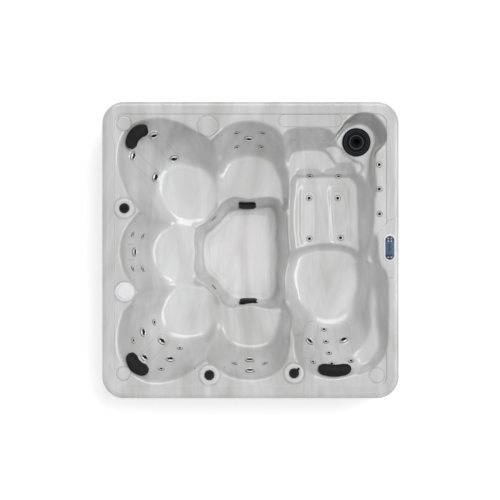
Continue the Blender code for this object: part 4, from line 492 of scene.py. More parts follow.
class Hollow:
    """One hollow of the shell: a dished floor, a filleted wall and the slope past its rim."""

    def __init__(self, outline, floor, rise, fillet, softness):
        self.middle = place(outline["centre"])
        self.spans = Vector(outline["spans"]) * METRES_PER_PX
        self.pan = turn_table(outline["pan"], outline["centre"], outline["spans"])
        self.rim = turn_table(outline["rim"], outline["centre"], outline["spans"])
        self.floor = floor
        self.rise = rise
        self.fillet = fillet
        self.softness = softness

    def height(self, x, y):
        """Height of this hollow's surface, which goes on rising past its rim."""
        across = (x - self.middle.x) / self.spans.x
        up = (y - self.middle.y) / self.spans.y
        angle = np.arctan2(up, across)
        radius = np.hypot(across, up)
        inner = read_table(self.pan, angle)
        outer = read_table(self.rim, angle)
        share = (radius - inner) / (outer - inner)
        slope = 1 / (1 - self.fillet / 2)
        wall = np.where(share < self.fillet, slope * share ** 2 / (2 * self.fillet),
                        slope * (share - self.fillet / 2))
        dish = SEAT_DISH * (1 - np.minimum(radius / inner, 1.0) ** 2)
        return np.where(share <= 0, self.floor - dish, self.floor + self.rise * wall)


def soft_min(first, second, softness):
    """The lower of two heights, with the edge between them rounded."""
    near = np.maximum(softness - np.abs(first - second), 0.0) / softness
    return np.minimum(first, second) - near * near * softness / 4


def ease(value):
    """A smooth step from 0 to 1."""
    value = np.clip(value, 0.0, 1.0)
    return value * value * (3 - 2 * value)


def distance_to_line(x, y, line, closed=False):
    """Distance in plan from points to a line of places."""
    spots = [place(px) for px in line]
    if closed:
        spots.append(spots[0])
    best = np.full(np.shape(x), TUB_WIDTH)
    for a, b in zip(spots, spots[1:]):
        edge = b - a
        share = ((x - a.x) * edge.x + (y - a.y) * edge.y) / edge.length_squared
        share = np.clip(share, 0.0, 1.0)
        best = np.minimum(best, np.hypot(x - a.x - edge.x * share, y - a.y - edge.y * share))
    return best


def inside_outline(x, y, outline):
    """True for the points inside a closed outline of places."""
    spots = [place(px) for px in outline]
    inside = np.zeros(np.shape(x), bool)
    for a, b in zip(spots, spots[1:] + spots[:1]):
        if a.y == b.y:
            continue
        crosses = (a.y > y) != (b.y > y)
        inside ^= crosses & (x < (b.x - a.x) * (y - a.y) / (b.y - a.y) + a.x)
    return inside


ALL_HOLLOWS = [Hollow(*row) for row in HOLLOWS]


def trough_height(x, y, centre, spans, lean):
    """Height of a calf trough: a rounded box sunk in the leg tray, leaning in plan."""
    middle = place(centre)
    up = (y - middle.y) / (spans[1] * METRES_PER_PX)
    across = (x - middle.x + lean * (y - middle.y)) / (spans[0] * METRES_PER_PX)
    radius = (np.abs(across) ** TROUGH_POWER + np.abs(up) ** TROUGH_POWER) ** (1 / TROUGH_POWER)
    share = (radius - TROUGH_PAN_SHARE) / (1 - TROUGH_PAN_SHARE)
    rise = (CALF_TROUGH + CALF_LIP) * np.maximum(share, 0.0) ** TROUGH_RISE_POWER
    return LEG_TRAY - CALF_TROUGH + rise


def moulded_surface(x, y, base):
    """Height of the shell's inner surface over a base height of deck and rim."""
    height = base
    for hollow in ALL_HOLLOWS:
        height = soft_min(height, hollow.height(x, y), hollow.softness)
    for centre, spans, lean in CALF_TROUGHS_PX:
        height = soft_min(height, trough_height(x, y, centre, spans, lean), LEDGE_SOFT / 2)
    for start, end, half in CHANNELS_PX + CALF_SLOTS_PX:
        away = distance_to_line(x, y, [start, end]) / METRES_PER_PX
        height = height - CHANNEL_DEPTH * ease(half + CHANNEL_LIP_PX - away)
    return height


def boss_rise(x, y):
    """Share of the rim's rise that the control panel's boss has at each place."""
    away = distance_to_line(x, y, PANEL_BOSS_PX, closed=True)
    away = np.where(inside_outline(x, y, PANEL_BOSS_PX), -away, away)
    return ease(0.5 - away / BOSS_BLEND)


def surface_at(spot, reach):
    """Origin and outward normal of the moulded surface about a place."""
    count = SEAT_RING_POINTS
    angles = np.arange(count) * math.tau / count
    xs = spot.x + reach * np.cos(angles)
    ys = spot.y + reach * np.sin(angles)
    zs = moulded_surface(xs, ys, np.full(count, DECK))
    ring = [Vector(point) for point in zip(xs, ys, zs)]
    normal = Vector((0.0, 0.0, 0.0))
    for k, point in enumerate(ring):
        normal += point.cross(ring[(k + 1) % count])
    normal.normalize()
    middle = moulded_surface(np.array([spot.x]), np.array([spot.y]), np.array([DECK]))[0]
    return Vector((spot.x, spot.y, float(middle))), normal


def frame_on(origin, normal):
    """A frame at a point whose Z is the normal and whose Y climbs the slope."""
    side = Vector((0.0, 0.0, 1.0)).cross(normal)
    if side.length < FIT:
        side = Vector((1.0, 0.0, 0.0))
    side.normalize()
    frame_matrix = Matrix((side, normal.cross(side), normal)).transposed().to_4x4()
    frame_matrix.translation = origin
    return frame_matrix


def joint_frame(name):
    """The frame of a turning piece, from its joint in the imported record."""
    joint = next(j for j in frame["joints"] if j["child"] == name)
    return frame_on(Vector(joint["pos_m"]), Vector(joint["axis"]).normalized())


LARGE_JETS = [name for name in frame["nodes"] if name.startswith("jet_") and "pump" not in name]
JET_FRAMES = {name: joint_frame(name) for name in LARGE_JETS}
SMALL_JET_FRAMES = [frame_on(*surface_at(place(px), SMALL_JET_RADIUS)) for px in SMALL_JETS_PX]


def seat_plane(x, y, seat):
    """Height of a seat's plane at each place."""
    origin = seat.translation
    normal = seat.to_3x3().col[2]
    return origin.z - (normal.x * (x - origin.x) + normal.y * (y - origin.y)) / normal.z


def flatten(x, y, height, seat, reach, blend):
    """Bring a surface to a seat's plane within a reach of its middle."""
    origin = seat.translation
    plane = seat_plane(x, y, seat)
    away = np.sqrt((x - origin.x) ** 2 + (y - origin.y) ** 2 + (plane - origin.z) ** 2)
    share = ease(1 - (away - reach) / blend)
    return height + (plane - height) * share


def flatten_box(x, y, height, seat, half_width, half_length, blend):
    """Bring a surface to a seat's plane inside a rectangle of its own frame."""
    origin = seat.translation
    plane = seat_plane(x, y, seat)
    away = np.stack([x - origin.x, y - origin.y, plane - origin.z])
    side = np.abs(np.tensordot(np.array(seat.to_3x3().col[0]), away, 1)) - half_width
    rise = np.abs(np.tensordot(np.array(seat.to_3x3().col[1]), away, 1)) - half_length
    share = ease(1 - np.maximum(side, rise) / blend)
    return height + (plane - height) * share


def seated_surface(x, y, height):
    """The surface with the fittings' seats and the filter's pit."""
    for name in LARGE_JETS:
        height = flatten(x, y, height, JET_FRAMES[name], JET_RADIUS, SEAT_BLEND)
    for seat in SMALL_JET_FRAMES:
        height = flatten(x, y, height, seat, SMALL_JET_RADIUS, SEAT_BLEND / 2)
    for name in COVERS:
        height = flatten_box(x, y, height, cover_frame(name), COVER_WIDTH / 2, COVER_LENGTH / 2,
                             SEAT_BLEND)
    spot = place(FILTER_PX)
    away = np.hypot(x - spot.x, y - spot.y)
    return np.where(away < (FILTER_PIT_TOP + FILTER_PIT_RADIUS) / 2, height - FILTER_PIT_DEPTH, height)


def cover_frame(name):
    """The seat of a suction cover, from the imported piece's own flat back."""
    low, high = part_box(name)
    middle = (Vector(low) + Vector(high)) / 2
    mesh = frame["nodes"][name].data
    areas = {}
    for face in mesh.polygons:
        key = tuple(round(c, 2) for c in face.normal)
        areas[key] = areas.get(key, 0.0) + face.area
    normal = Vector(max(areas, key=areas.get)).normalized()
    if normal.z < 0:
        normal.negate()
    heights = [(Vector(v.co) - middle).dot(normal) for v in mesh.vertices]
    return frame_on(middle + normal * (min(heights) + COVER_BARREL), normal)


def linked(name, data):
    """A new object in the scene."""
    item = bpy.data.objects.new(name, data)
    bpy.context.scene.collection.objects.link(item)
    return item


def turn_outward(mesh):
    """Turn a closed mesh's faces outward."""
    bm = bmesh.new()
    bm.from_mesh(mesh)
    bmesh.ops.recalc_face_normals(bm, faces=bm.faces)
    bm.to_mesh(mesh)
    bm.free()


def new_mesh_object(name, verts, faces, finish=None, shading=True):
    """An object with its place in its mesh, closed faces outward, smooth where the form is."""
    mesh = bpy.data.meshes.new(name)
    mesh.from_pydata(verts, [], faces)
    mesh.update()
    turn_outward(mesh)
    if shading:
        mesh.shade_smooth()
    if finish:
        mesh.materials.append(finish)
    return linked(name, mesh)


def sharpen(item, angle=35):
    """Keep true edges sharp on a smooth mesh."""
    item.data.set_sharp_from_angle(angle=math.radians(angle))
    return item


def skin_lines():
    """Nominal places of the skin's lines, from one outer edge to the other."""
    inner = np.linspace(-GRID_REACH, GRID_REACH, GRID_LINES + 1)
    border = GRID_REACH + NOMINAL_STEP * np.arange(1, len(RIM_RINGS) + 1)
    return np.concatenate([-border[::-1], inner, border])


def skin_places(lines):
    """World X and Y of each crossing of the skin's lines, and its ring, 0 inside the rim."""
    u, v = np.meshgrid(lines, lines)
    big = np.maximum(np.abs(u), np.abs(v))
    small = np.minimum(np.abs(u), np.abs(v))
    ring = np.clip(np.rint((big - GRID_REACH) / NOMINAL_STEP), 0, len(RIM_RINGS)).astype(int)
    reach = np.array([0.0] + [row[0] for row in RIM_RINGS])[ring]
    reach = np.where(ring == 0, big, reach)
    share = np.clip((small - CORNER_CENTRE) / np.maximum(big - CORNER_CENTRE, FIT), 0.0, 1.0)
    angle = share * math.pi / 4
    rounded = (big > CORNER_CENTRE) & (small > CORNER_CENTRE)
    long = np.where(rounded, CORNER_CENTRE + (reach - CORNER_CENTRE) * np.cos(angle), reach)
    short = np.where(rounded, CORNER_CENTRE + (reach - CORNER_CENTRE) * np.sin(angle), small)
    wide = np.abs(u) >= np.abs(v)
    x = np.sign(u) * np.where(wide, long, short)
    y = np.sign(v) * np.where(wide, short, long)
    return x, y, ring


def snap_round(x, y, middle, radius, reach):
    """Pull the places near a circle onto it, so that its edge is clean."""
    away = np.hypot(x - middle.x, y - middle.y)
    near = np.abs(away - radius) < reach
    scale = np.where(near, radius / np.maximum(away, FIT), 1.0)
    return middle.x + (x - middle.x) * scale, middle.y + (y - middle.y) * scale


def blurred(height, where, passes):
    """Heights with a blur at the places given."""
    for _ in range(passes):
        across = height.copy()
        across[:, 1:-1] = (height[:, :-2] + 2 * height[:, 1:-1] + height[:, 2:]) / 4
        both = across.copy()
        both[1:-1] = (across[:-2] + 2 * across[1:-1] + across[2:]) / 4
        height = np.where(where, both, height)
    return height


def soft_places(x, y, height):
    """True between the seats, away from the crisp edges of the step, the tray and the footwell."""
    seats = (height > FOOTWELL + FOOTWELL_WALL / 2) & (height < DECK - SOFT_BELOW)
    rim = FOOTWELL_PX["rim"]
    clear = (distance_to_line(x, y, rim, closed=True) > SOFT_CLEAR) & ~inside_outline(x, y, rim)
    tray = place(TRAY_CORNER_PX)
    return seats & clear & ~((x > tray.x) & (y > tray.y))


def skin_height(x, y, ring):
    """Height of the skin at each crossing."""
    drop = np.array([RIM_TOP - DECK] + [row[1] for row in RIM_RINGS])[ring]
    flat = ring <= FLAT_RINGS
    boss = DECK + (RIM_TOP - DECK) * boss_rise(x, y)
    base = np.where(flat, np.maximum(RIM_TOP - drop, boss), RIM_TOP)
    moulded = blurred(moulded_surface(x, y, base), ring == 0, SMOOTH_PASSES)
    moulded = blurred(moulded, (ring == 0) & soft_places(x, y, moulded), CREASE_PASSES)
    fitted = seated_surface(x, y, moulded)
    return np.where(flat, fitted, RIM_TOP - drop)


def outer_ring(count):
    """Indices of the crossings round the outermost line, in order."""
    last = count - 1
    ring = [(0, k) for k in range(last)] + [(k, last) for k in range(last)]
    ring += [(last, last - k) for k in range(last)] + [(last - k, 0) for k in range(last)]
    return ring


def build_skin(finish):
    """The moulded shell as one closed skin: a fine top, a rolled rim and a coarser back."""
    lines = skin_lines()
    count = len(lines)
    x, y, ring = skin_places(lines)
    well = place(FILTER_PX)
    x, y = snap_round(x, y, well, FILTER_PIT_TOP, (FILTER_PIT_TOP - FILTER_PIT_RADIUS) / 2)
    x, y = snap_round(x, y, well, FILTER_PIT_RADIUS, (FILTER_PIT_TOP - FILTER_PIT_RADIUS) / 2)
    z = skin_height(x, y, ring)
    verts = list(zip(x.ravel().tolist(), y.ravel().tolist(), z.ravel().tolist()))
    faces = []
    for j in range(count - 1):
        row = j * count
        for i in range(count - 1):
            a = row + i
            faces.append((a, a + 1, a + 1 + count, a + count))
    first = len(RIM_RINGS) - UNDER_RING
    coarse = list(range(first, count - first, UNDER_STRIDE))
    under = {}
    for j in coarse:
        for i in coarse:
            near = z[max(j - UNDER_STRIDE, 0):j + UNDER_STRIDE + 1,
                     max(i - UNDER_STRIDE, 0):i + UNDER_STRIDE + 1]
            under[j, i] = len(verts)
            verts.append((float(x[j, i]), float(y[j, i]), float(near.min()) - SHELL_WALL))
    for j, above in zip(coarse, coarse[1:]):
        for i, after in zip(coarse, coarse[1:]):
            faces.append((under[j, i], under[above, i], under[above, after], under[j, after]))
    low, high = coarse[0], coarse[-1]
    last = count - 1
    sides = [lambda k: ((0, k), (low, k)), lambda k: ((k, last), (k, high)),
             lambda k: ((last, last - k), (high, last - k)), lambda k: ((last - k, 0), (last - k, low))]
    for side in sides:
        for k, after in zip(coarse, coarse[1:]):
            fine = [side(step)[0] for step in range(k, after + 1)]
            faces.append([j * count + i for j, i in fine] + [under[side(after)[1]], under[side(k)[1]]])
    around = outer_ring(count)
    for corner, spot in zip(range(4), ((low, low), (low, high), (high, high), (high, low))):
        start = corner * last
        fine = [around[(start + step) % len(around)] for step in range(-low, low + 1)]
        faces.append([j * count + i for j, i in fine] + [under[spot]])
    return new_mesh_object("tub_shell", verts, faces, finish)


def fill_inputs(tree, node, inputs):
    """Set a node's inputs to values, or link them to other nodes' outputs."""
    for key, value in inputs.items():
        if isinstance(value, bpy.types.NodeSocket):
            tree.links.new(value, node.inputs[key])
        else:
            node.inputs[key].default_value = value


def add_node(tree, kind, inputs=None, **settings):
    """A new node with its settings and inputs."""
    node = tree.nodes.new(kind)
    for key, value in settings.items():
        setattr(node, key, value)
    fill_inputs(tree, node, inputs or {})
    return node


def new_finish(name):
    """A node finish with its tree and its shader."""
    finish = bpy.data.materials.new(name)
    finish.use_nodes = True
    return finish, finish.node_tree, finish.node_tree.nodes["Principled BSDF"]


def stretched(tree, stretch):
    """The object's own coordinates, stretched."""
    where = add_node(tree, "ShaderNodeTexCoord")
    turn = add_node(tree, "ShaderNodeMapping", {"Vector": where.outputs["Object"], "Scale": stretch})
    return turn.outputs["Vector"]


def two_shades(tree, level, dark, pale, reach):
    """A colour that goes from dark to pale as a level goes through a reach."""
    ramp = add_node(tree, "ShaderNodeValToRGB", {"Fac": level})
    for stop, position, shade in zip(ramp.color_ramp.elements, reach, (dark, pale)):
        stop.position = position
        stop.color = (*shade, 1.0)
    return ramp.outputs["Color"]


def mottled(name, pale, dark, rough, spread=0.04, scale=6.0, stretch=(1.0, 1.0, 1.0), bump=0.0,
            bump_scale=400.0, metallic=0.0, coat=0.0, gloss_level=0.5):
    """A finish that drifts between two shades, with uneven gloss and a fine bump."""
    finish, tree, shader = new_finish(name)
    place_in = stretched(tree, stretch)
    cloud = add_node(tree, "ShaderNodeTexNoise", {
        "Vector": place_in, "Scale": scale, "Detail": CLOUD_DETAIL}).outputs["Fac"]
    gloss = add_node(tree, "ShaderNodeMapRange", {
        "Value": cloud, "To Min": rough - spread, "To Max": rough + spread})
    fill_inputs(tree, shader, {
        "Metallic": metallic, "Coat Weight": coat, "Specular IOR Level": gloss_level,
        "Base Color": two_shades(tree, cloud, dark, pale, CLOUD_REACH),
        "Roughness": gloss.outputs["Result"]})
    if bump:
        grain = add_node(tree, "ShaderNodeTexNoise", {"Vector": place_in, "Scale": bump_scale})
        relief = add_node(tree, "ShaderNodeBump", {
            "Height": grain.outputs["Fac"], "Strength": bump, "Distance": BUMP_DEPTH})
        fill_inputs(tree, shader, {"Normal": relief.outputs["Normal"]})
    return finish


def marbled(name, pale, dark):
    """Pearl acrylic: soft streaks along the tub under a clear, glossy coat."""
    finish, tree, shader = new_finish(name)
    shades = []
    for scale, stretch, warp in STREAKS:
        cloud = add_node(tree, "ShaderNodeTexNoise", {
            "Vector": stretched(tree, stretch), "Scale": scale, "Detail": STREAK_DETAIL,
            "Roughness": STREAK_ROUGH, "Distortion": warp})
        shades.append(cloud.outputs["Fac"])
    both = add_node(tree, "ShaderNodeMath", {0: shades[0], 1: shades[1]}, operation="ADD")
    reach = add_node(tree, "ShaderNodeMapRange", {
        "Value": both.outputs[0], "From Min": STREAK_REACH[0], "From Max": STREAK_REACH[1]})
    gloss = add_node(tree, "ShaderNodeMapRange", {
        "Value": shades[1], "To Min": PEARL_ROUGH[0], "To Max": PEARL_ROUGH[1]})
    fill_inputs(tree, shader, {
        "Coat Weight": PEARL_COAT, "Coat Roughness": PEARL_COAT_ROUGH,
        "Specular IOR Level": PEARL_GLOSS, "Roughness": gloss.outputs["Result"],
        "Base Color": two_shades(tree, reach.outputs["Result"], dark, pale, (0.0, 1.0))})
    return finish


def banded(name, ends, middle, centre, half):
    """A printed overlay that is dark at its ends and lighter at its middle."""
    finish = mottled(name, middle, ends, 0.26, 0.04, 40.0)
    tree = finish.node_tree
    where = add_node(tree, "ShaderNodeTexCoord")
    split = add_node(tree, "ShaderNodeSeparateXYZ", {"Vector": where.outputs["Object"]})
    away = add_node(tree, "ShaderNodeMath", {0: split.outputs["Y"], 1: centre}, operation="SUBTRACT")
    size = add_node(tree, "ShaderNodeMath", {0: away.outputs[0]}, operation="ABSOLUTE")
    reach = add_node(tree, "ShaderNodeMapRange", {
        "Value": size.outputs[0], "From Min": half * BAND_REACH[0], "From Max": half * BAND_REACH[1],
        "To Min": 1.0, "To Max": 0.0}, interpolation_type="SMOOTHSTEP")
    ramp = next(node for node in tree.nodes if node.type == "VALTORGB")
    fill_inputs(tree, ramp, {"Fac": reach.outputs["Result"]})
    return finish


PEARL = marbled("shell_pearl_acrylic", (0.690, 0.692, 0.694), (0.475, 0.475, 0.468))
# Painted shade: a darker pearl for the beads along moulded lines, standing in for the shade in their grooves
PAINTED_GROOVE_SHADE = marbled("shell_painted_groove_shade", (0.400, 0.400, 0.395), (0.330, 0.330, 0.325))
JET_FLANGE = mottled("jet_pale_flange", (0.80, 0.80, 0.78), (0.66, 0.66, 0.64), 0.22, 0.05, 60.0,
                     coat=0.4)
JET_STEEL = mottled("jet_brushed_steel", (0.86, 0.86, 0.85), (0.62, 0.62, 0.61), 0.20, 0.06, 220.0,
                    metallic=0.9)
JET_EDGE = mottled("jet_shadow_edge", (0.090, 0.088, 0.085), (0.055, 0.054, 0.052), 0.40, 0.05, 60.0)
# The lid's own near-black, also on the cartridge's end caps and core tube as painted shade seen through the
# lid's hole
LID_BLACK_AND_HOLE_SHADE = mottled("filter_lid_black_and_hole_shade", (0.0075, 0.0080, 0.0095), (0.0045, 0.0048, 0.0060), 0.34, 0.05, 50.0,
              gloss_level=0.08)
GRILLE = mottled("suction_cover_black", (0.010, 0.010, 0.011), (0.006, 0.006, 0.007), 0.55, 0.06, 60.0,
                 gloss_level=0.05)
# Painted highlight: lighter grey on the lid's ribs, standing in for the light they catch
PAINTED_RIB_HIGHLIGHT = mottled("filter_lid_painted_rib_highlight", (0.070, 0.074, 0.082), (0.035, 0.037, 0.042), 0.30, 0.05, 70.0,
                  gloss_level=0.3)
BLACK = mottled("moulded_black_plastic", (0.012, 0.012, 0.014), (0.007, 0.007, 0.008), 0.30, 0.06,
                40.0, bump=0.15, gloss_level=0.12)
WHITE = mottled("white_moulded_plastic", (0.84, 0.84, 0.86), (0.78, 0.78, 0.80), 0.30, 0.04, 30.0)
HOOD = mottled("valve_pale_plate", (0.70, 0.70, 0.70), (0.64, 0.64, 0.64), 0.30, 0.04, 30.0)
LENS = mottled("light_lens_plastic", (0.24, 0.24, 0.25), (0.16, 0.16, 0.17), 0.22, 0.03, 90.0,
               gloss_level=0.2)
PAPER = mottled("filter_pleat_paper", (0.72, 0.73, 0.72), (0.62, 0.63, 0.62), 0.80, 0.05, 60.0,
                bump=0.3)
SCREEN = banded("panel_blue_overlay", (0.008, 0.014, 0.036), (0.048, 0.108, 0.185),
                place(PANEL_PX).y, SCREEN_HALF)
DISPLAY = mottled("panel_display", (0.030, 0.055, 0.090), (0.016, 0.030, 0.055), 0.12, 0.03, 40.0)
KEY = mottled("panel_key_caps", (0.42, 0.52, 0.62), (0.34, 0.43, 0.53), 0.35, 0.05, 90.0)
FOAM = mottled("pillow_black_foam", (0.013, 0.013, 0.014), (0.007, 0.007, 0.008), 0.48, 0.08, 30.0,
               bump=0.35, bump_scale=900.0, gloss_level=0.10)
BOARD = mottled("cabinet_grey_board", (0.135, 0.130, 0.124), (0.070, 0.067, 0.064), 0.58, 0.08, 20.0,
                (1.0, 1.0, 12.0), bump=0.4)
TRIM = mottled("corner_trim_plastic", (0.060, 0.060, 0.062), (0.040, 0.040, 0.042), 0.45, 0.05, 50.0,
               bump=0.2)
BASE = mottled("base_pan_black", (0.030, 0.030, 0.032), (0.018, 0.018, 0.020), 0.55, 0.06, 20.0,
               bump=0.3)
TIMBER = mottled("treated_timber_frame", (0.42, 0.33, 0.19), (0.27, 0.20, 0.11), 0.70, 0.06, 14.0,
                 (1.0, 8.0, 1.0), bump=0.4)
PUMP = mottled("pump_grey_paint", (0.115, 0.125, 0.135), (0.085, 0.093, 0.102), 0.35, 0.05, 30.0)
PIPE = mottled("white_pipe", (0.72, 0.72, 0.70), (0.66, 0.66, 0.64), 0.32, 0.04, 20.0)
HOUSING = mottled("filter_housing_grey", (0.17, 0.175, 0.18), (0.12, 0.125, 0.13), 0.42, 0.05, 26.0)
HEATER = mottled("heater_brushed_steel", (0.52, 0.53, 0.54), (0.36, 0.37, 0.38), 0.28, 0.06, 160.0,
                 (1.0, 1.0, 0.1), metallic=1.0)
FINISHES = {
    "pearl_acrylic": PEARL, "pillow_foam": FOAM, "jet_steel": JET_STEEL, "heater_steel": HEATER,
    "white_plastic": WHITE, "black_plastic": BLACK, "housing_grey": HOUSING, "filter_paper": PAPER,
    "screen_blue": SCREEN, "key_pale": KEY, "base_black": BASE, "treated_timber": TIMBER,
    "cabinet_board": BOARD, "corner_trim": TRIM, "pump_paint": PUMP, "white_pvc": PIPE}


def lathe(profile, steps, wave=None):
    """Points and faces of a form turned about Z; wave gives a radius scale for a row and an angle."""
    verts = []
    rows = []
    for index, (radius, height) in enumerate(profile):
        if radius == 0:
            rows.append([len(verts)] * steps)
            verts.append((0.0, 0.0, height))
            continue
        row = []
        for k in range(steps):
            angle = math.tau * k / steps
            reach = radius * (wave(index, angle) if wave else 1.0)
            row.append(len(verts))
            verts.append((reach * math.cos(angle), reach * math.sin(angle), height))
        rows.append(row)
    faces = []
    for low, high in zip(rows, rows[1:]):
        for k in range(steps):
            after = (k + 1) % steps
            face = list(dict.fromkeys([low[k], low[after], high[after], high[k]]))
            if len(face) > 2:
                faces.append(face)
    return verts, faces


def ring_lathe(profile, steps, wave=None):
    """A turned form whose profile closes on itself, such as a ring."""
    verts, faces = lathe(profile, steps, wave)
    last = (len(profile) - 1) * steps
    for k in range(steps):
        after = (k + 1) % steps
        faces.append([last + k, last + after, after, k])
    return verts, faces


def gathered(name, parts, finishes, angle=40):
    """One object from forms in their frames; each part names its finish by number."""
    verts = []
    faces = []
    kinds = []
    for (points, polygons), matrix, kind in parts:
        start = len(verts)
        verts += [tuple(matrix @ Vector(point)) for point in points]
        faces += [[start + v for v in polygon] for polygon in polygons]
        kinds += [kind] * len(polygons)
    item = new_mesh_object(name, verts, faces)
    for finish in finishes:
        item.data.materials.append(finish)
    item.data.polygons.foreach_set("material_index", kinds)
    return sharpen(item, angle)


def on_body(item, body, slot, *nodes):
    """Let a piece ride on a body and stand for nodes; its slot is not used."""
    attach(item, body)
    if nodes:
        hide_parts(*nodes)
    return item


def round_outline(width, length, radius, inset, height):
    """A ring of points round a box with rounded corners, drawn in by an inset."""
    turn = max(radius - inset, FIT)
    across = width / 2 - inset - turn
    along = length / 2 - inset - turn
    points = []
    for corner, (side, rise) in enumerate(((1, 1), (-1, 1), (-1, -1), (1, -1))):
        for k in range(CORNER_POINTS + 1):
            angle = math.tau / 4 * (corner + k / CORNER_POINTS)
            points.append((side * across + turn * math.cos(angle),
                           rise * along + turn * math.sin(angle), height))
    return points


def round_block(width, length, radius, profile):
    """A closed block with a rounded plan, from rows of inset and height, bottom to top."""
    rings = [round_outline(width, length, radius, inset, height) for inset, height in profile]
    count = len(rings[0])
    verts = [point for ring in rings for point in ring]
    faces = [list(range(count))[::-1]]
    for row in range(len(rings) - 1):
        for k in range(count):
            after = (k + 1) % count
            low = row * count
            faces.append([low + k, low + after, low + after + count, low + k + count])
    faces.append([(len(rings) - 1) * count + k for k in range(count)])
    return verts, faces


def scaled(rows, radius, height, foot=0.0):
    """Rows of radius and height, from rows of their shares."""
    return [(radius * reach, foot + height * rise) for reach, rise in rows]


def build_large_jets():
    """Each turning jet: a pale bevelled flange, a steel ring and a black nozzle low in its face, with a
    black ring in its groove and a dark ring at its edge as painted shade.
    """
    rings = [ring_lathe(scaled(rows, JET_RADIUS, JET_THICK), FINE_STEPS)
             for rows in (JET_FLANGE_ROWS, JET_RING_ROWS, JET_GROOVE_SHADE_ROWS, JET_EDGE_ROWS)]
    ball = JET_RADIUS * BALL_SHARE
    turns = [math.tau / 4 * k / CORNER_POINTS for k in range(CORNER_POINTS + 1)]
    dome = [(ball * math.sin(a), JET_THICK / 2 + ball * BALL_RISE * math.cos(a)) for a in turns]
    nozzle = lathe(dome + [(ball, FIT * 3), (0.0, FIT * 3)], FINE_STEPS)
    low = Matrix.Translation((0.0, -JET_RADIUS * NOZZLE_SHIFT, 0.0))
    for name, seat in JET_FRAMES.items():
        parts = [(ring, seat, kind) for kind, ring in enumerate(rings)] + [(nozzle, seat @ low, 2)]
        item = gathered(name + "_fitting", parts, [JET_FLANGE, JET_STEEL, BLACK, JET_EDGE])
        on_body(item, name, "jet_steel", name)


def new_group(name, socket, kind):
    """A geometry tree with one more input: the tree, its inputs and the new one's identifier."""
    tree = bpy.data.node_groups.new(name, "GeometryNodeTree")
    tree.interface.new_socket("Geometry", in_out="INPUT", socket_type="NodeSocketGeometry")
    extra = tree.interface.new_socket(socket, in_out="INPUT", socket_type=kind)
    tree.interface.new_socket("Geometry", in_out="OUTPUT", socket_type="NodeSocketGeometry")
    return tree, tree.nodes.new("NodeGroupInput").outputs, extra.identifier


def end_group(tree, geometry, finish):
    """Make copies real, give them a finish and send them out of the tree."""
    solid = add_node(tree, "GeometryNodeRealizeInstances", {"Geometry": geometry})
    paint = add_node(tree, "GeometryNodeSetMaterial", {
        "Geometry": solid.outputs["Geometry"], "Material": finish})
    add_node(tree, "NodeGroupOutput", {"Geometry": paint.outputs["Geometry"]})


def scatter_tree(name, finish):
    """A node tree that sets a form on each point, along the point's own direction."""
    tree, start, identifier = new_group(name, "Form", "NodeSocketObject")
    info = add_node(tree, "GeometryNodeObjectInfo", {"Object": start["Form"]})
    facing = add_node(tree, "GeometryNodeInputNamedAttribute", {"Name": "facing"},
                      data_type="FLOAT_VECTOR")
    turn = add_node(tree, "FunctionNodeAlignRotationToVector", {
        "Vector": facing.outputs["Attribute"]}, axis="Z")
    spread = add_node(tree, "GeometryNodeInstanceOnPoints", {
        "Points": start["Geometry"], "Instance": info.outputs["Geometry"],
        "Rotation": turn.outputs["Rotation"]})
    end_group(tree, spread.outputs["Instances"], finish)
    return tree, identifier


def bead_tree(name, finish):
    """A node tree that turns edges into fine round beads."""
    tree, start, identifier = new_group(name, "Radius", "NodeSocketFloat")
    line = add_node(tree, "GeometryNodeMeshToCurve", {"Mesh": start["Geometry"]})
    circle = add_node(tree, "GeometryNodeCurvePrimitiveCircle", {
        "Resolution": BEAD_SIDES, "Radius": start["Radius"]})
    sweep = add_node(tree, "GeometryNodeCurveToMesh", {
        "Curve": line.outputs["Curve"], "Profile Curve": circle.outputs["Curve"], "Fill Caps": True})
    end_group(tree, sweep.outputs["Mesh"], finish)
    return tree, identifier


def grown(name, source, tree, identifier, value):
    """A plain mesh object from a source mesh through a node tree."""
    item = linked(name + "_source", source)
    step = item.modifiers.new("nodes", "NODES")
    step.node_group = tree
    step[identifier] = value
    bpy.context.view_layer.update()
    graph = bpy.context.evaluated_depsgraph_get()
    mesh = bpy.data.meshes.new_from_object(item.evaluated_get(graph), depsgraph=graph)
    bpy.data.objects.remove(item, do_unlink=True)
    turn_outward(mesh)
    mesh.name = name
    mesh.shade_smooth()
    return linked(name, mesh)


def scattered(name, frames, form, finish):
    """Copies of a form at the frames' origins, facing along their Z."""
    points = bpy.data.meshes.new(name + "_points")
    points.from_pydata([tuple(seat.translation) for seat in frames], [], [])
    facing = points.attributes.new("facing", "FLOAT_VECTOR", "POINT")
    directions = [c for seat in frames for c in seat.to_3x3().col[2]]
    facing.data.foreach_set("vector", directions)
    model = new_mesh_object(name + "_form", *form, finish)
    sharpen(model)
    tree, identifier = scatter_tree(name + "_nodes", finish)
    item = grown(name, points, tree, identifier, model)
    bpy.data.objects.remove(model, do_unlink=True)
    return item


def build_small_jets():
    """The fixed small jets: a pale flange each, with a shadowed edge and a dark mouth."""
    for name, turned, rows, finish, slot in (
            ("small_jet_flanges", ring_lathe, SMALL_FLANGE_ROWS, JET_FLANGE, "jet_steel"),
            ("small_jet_edges", ring_lathe, SMALL_EDGE_ROWS, JET_EDGE, "jet_steel"),
            ("small_jet_mouths", lathe, SMALL_MOUTH_ROWS, BLACK, "black_plastic")):
        form = turned(scaled(rows, SMALL_JET_RADIUS, SMALL_JET_RISE), FINE_STEPS // 2)
        on_body(scattered(name, SMALL_JET_FRAMES, form, finish), "tub", slot)


def build_lenses():
    """The small clear lights let into the shell."""
    frames = [frame_on(*surface_at(place(px), LENS_RADIUS)) for px in LIGHT_LENSES_PX]
    lens = lathe(scaled(LENS_ROWS, LENS_RADIUS, LENS_RADIUS), FINE_STEPS // 4)
    on_body(scattered("light_lenses", frames, lens, LENS), "tub", "white_plastic")


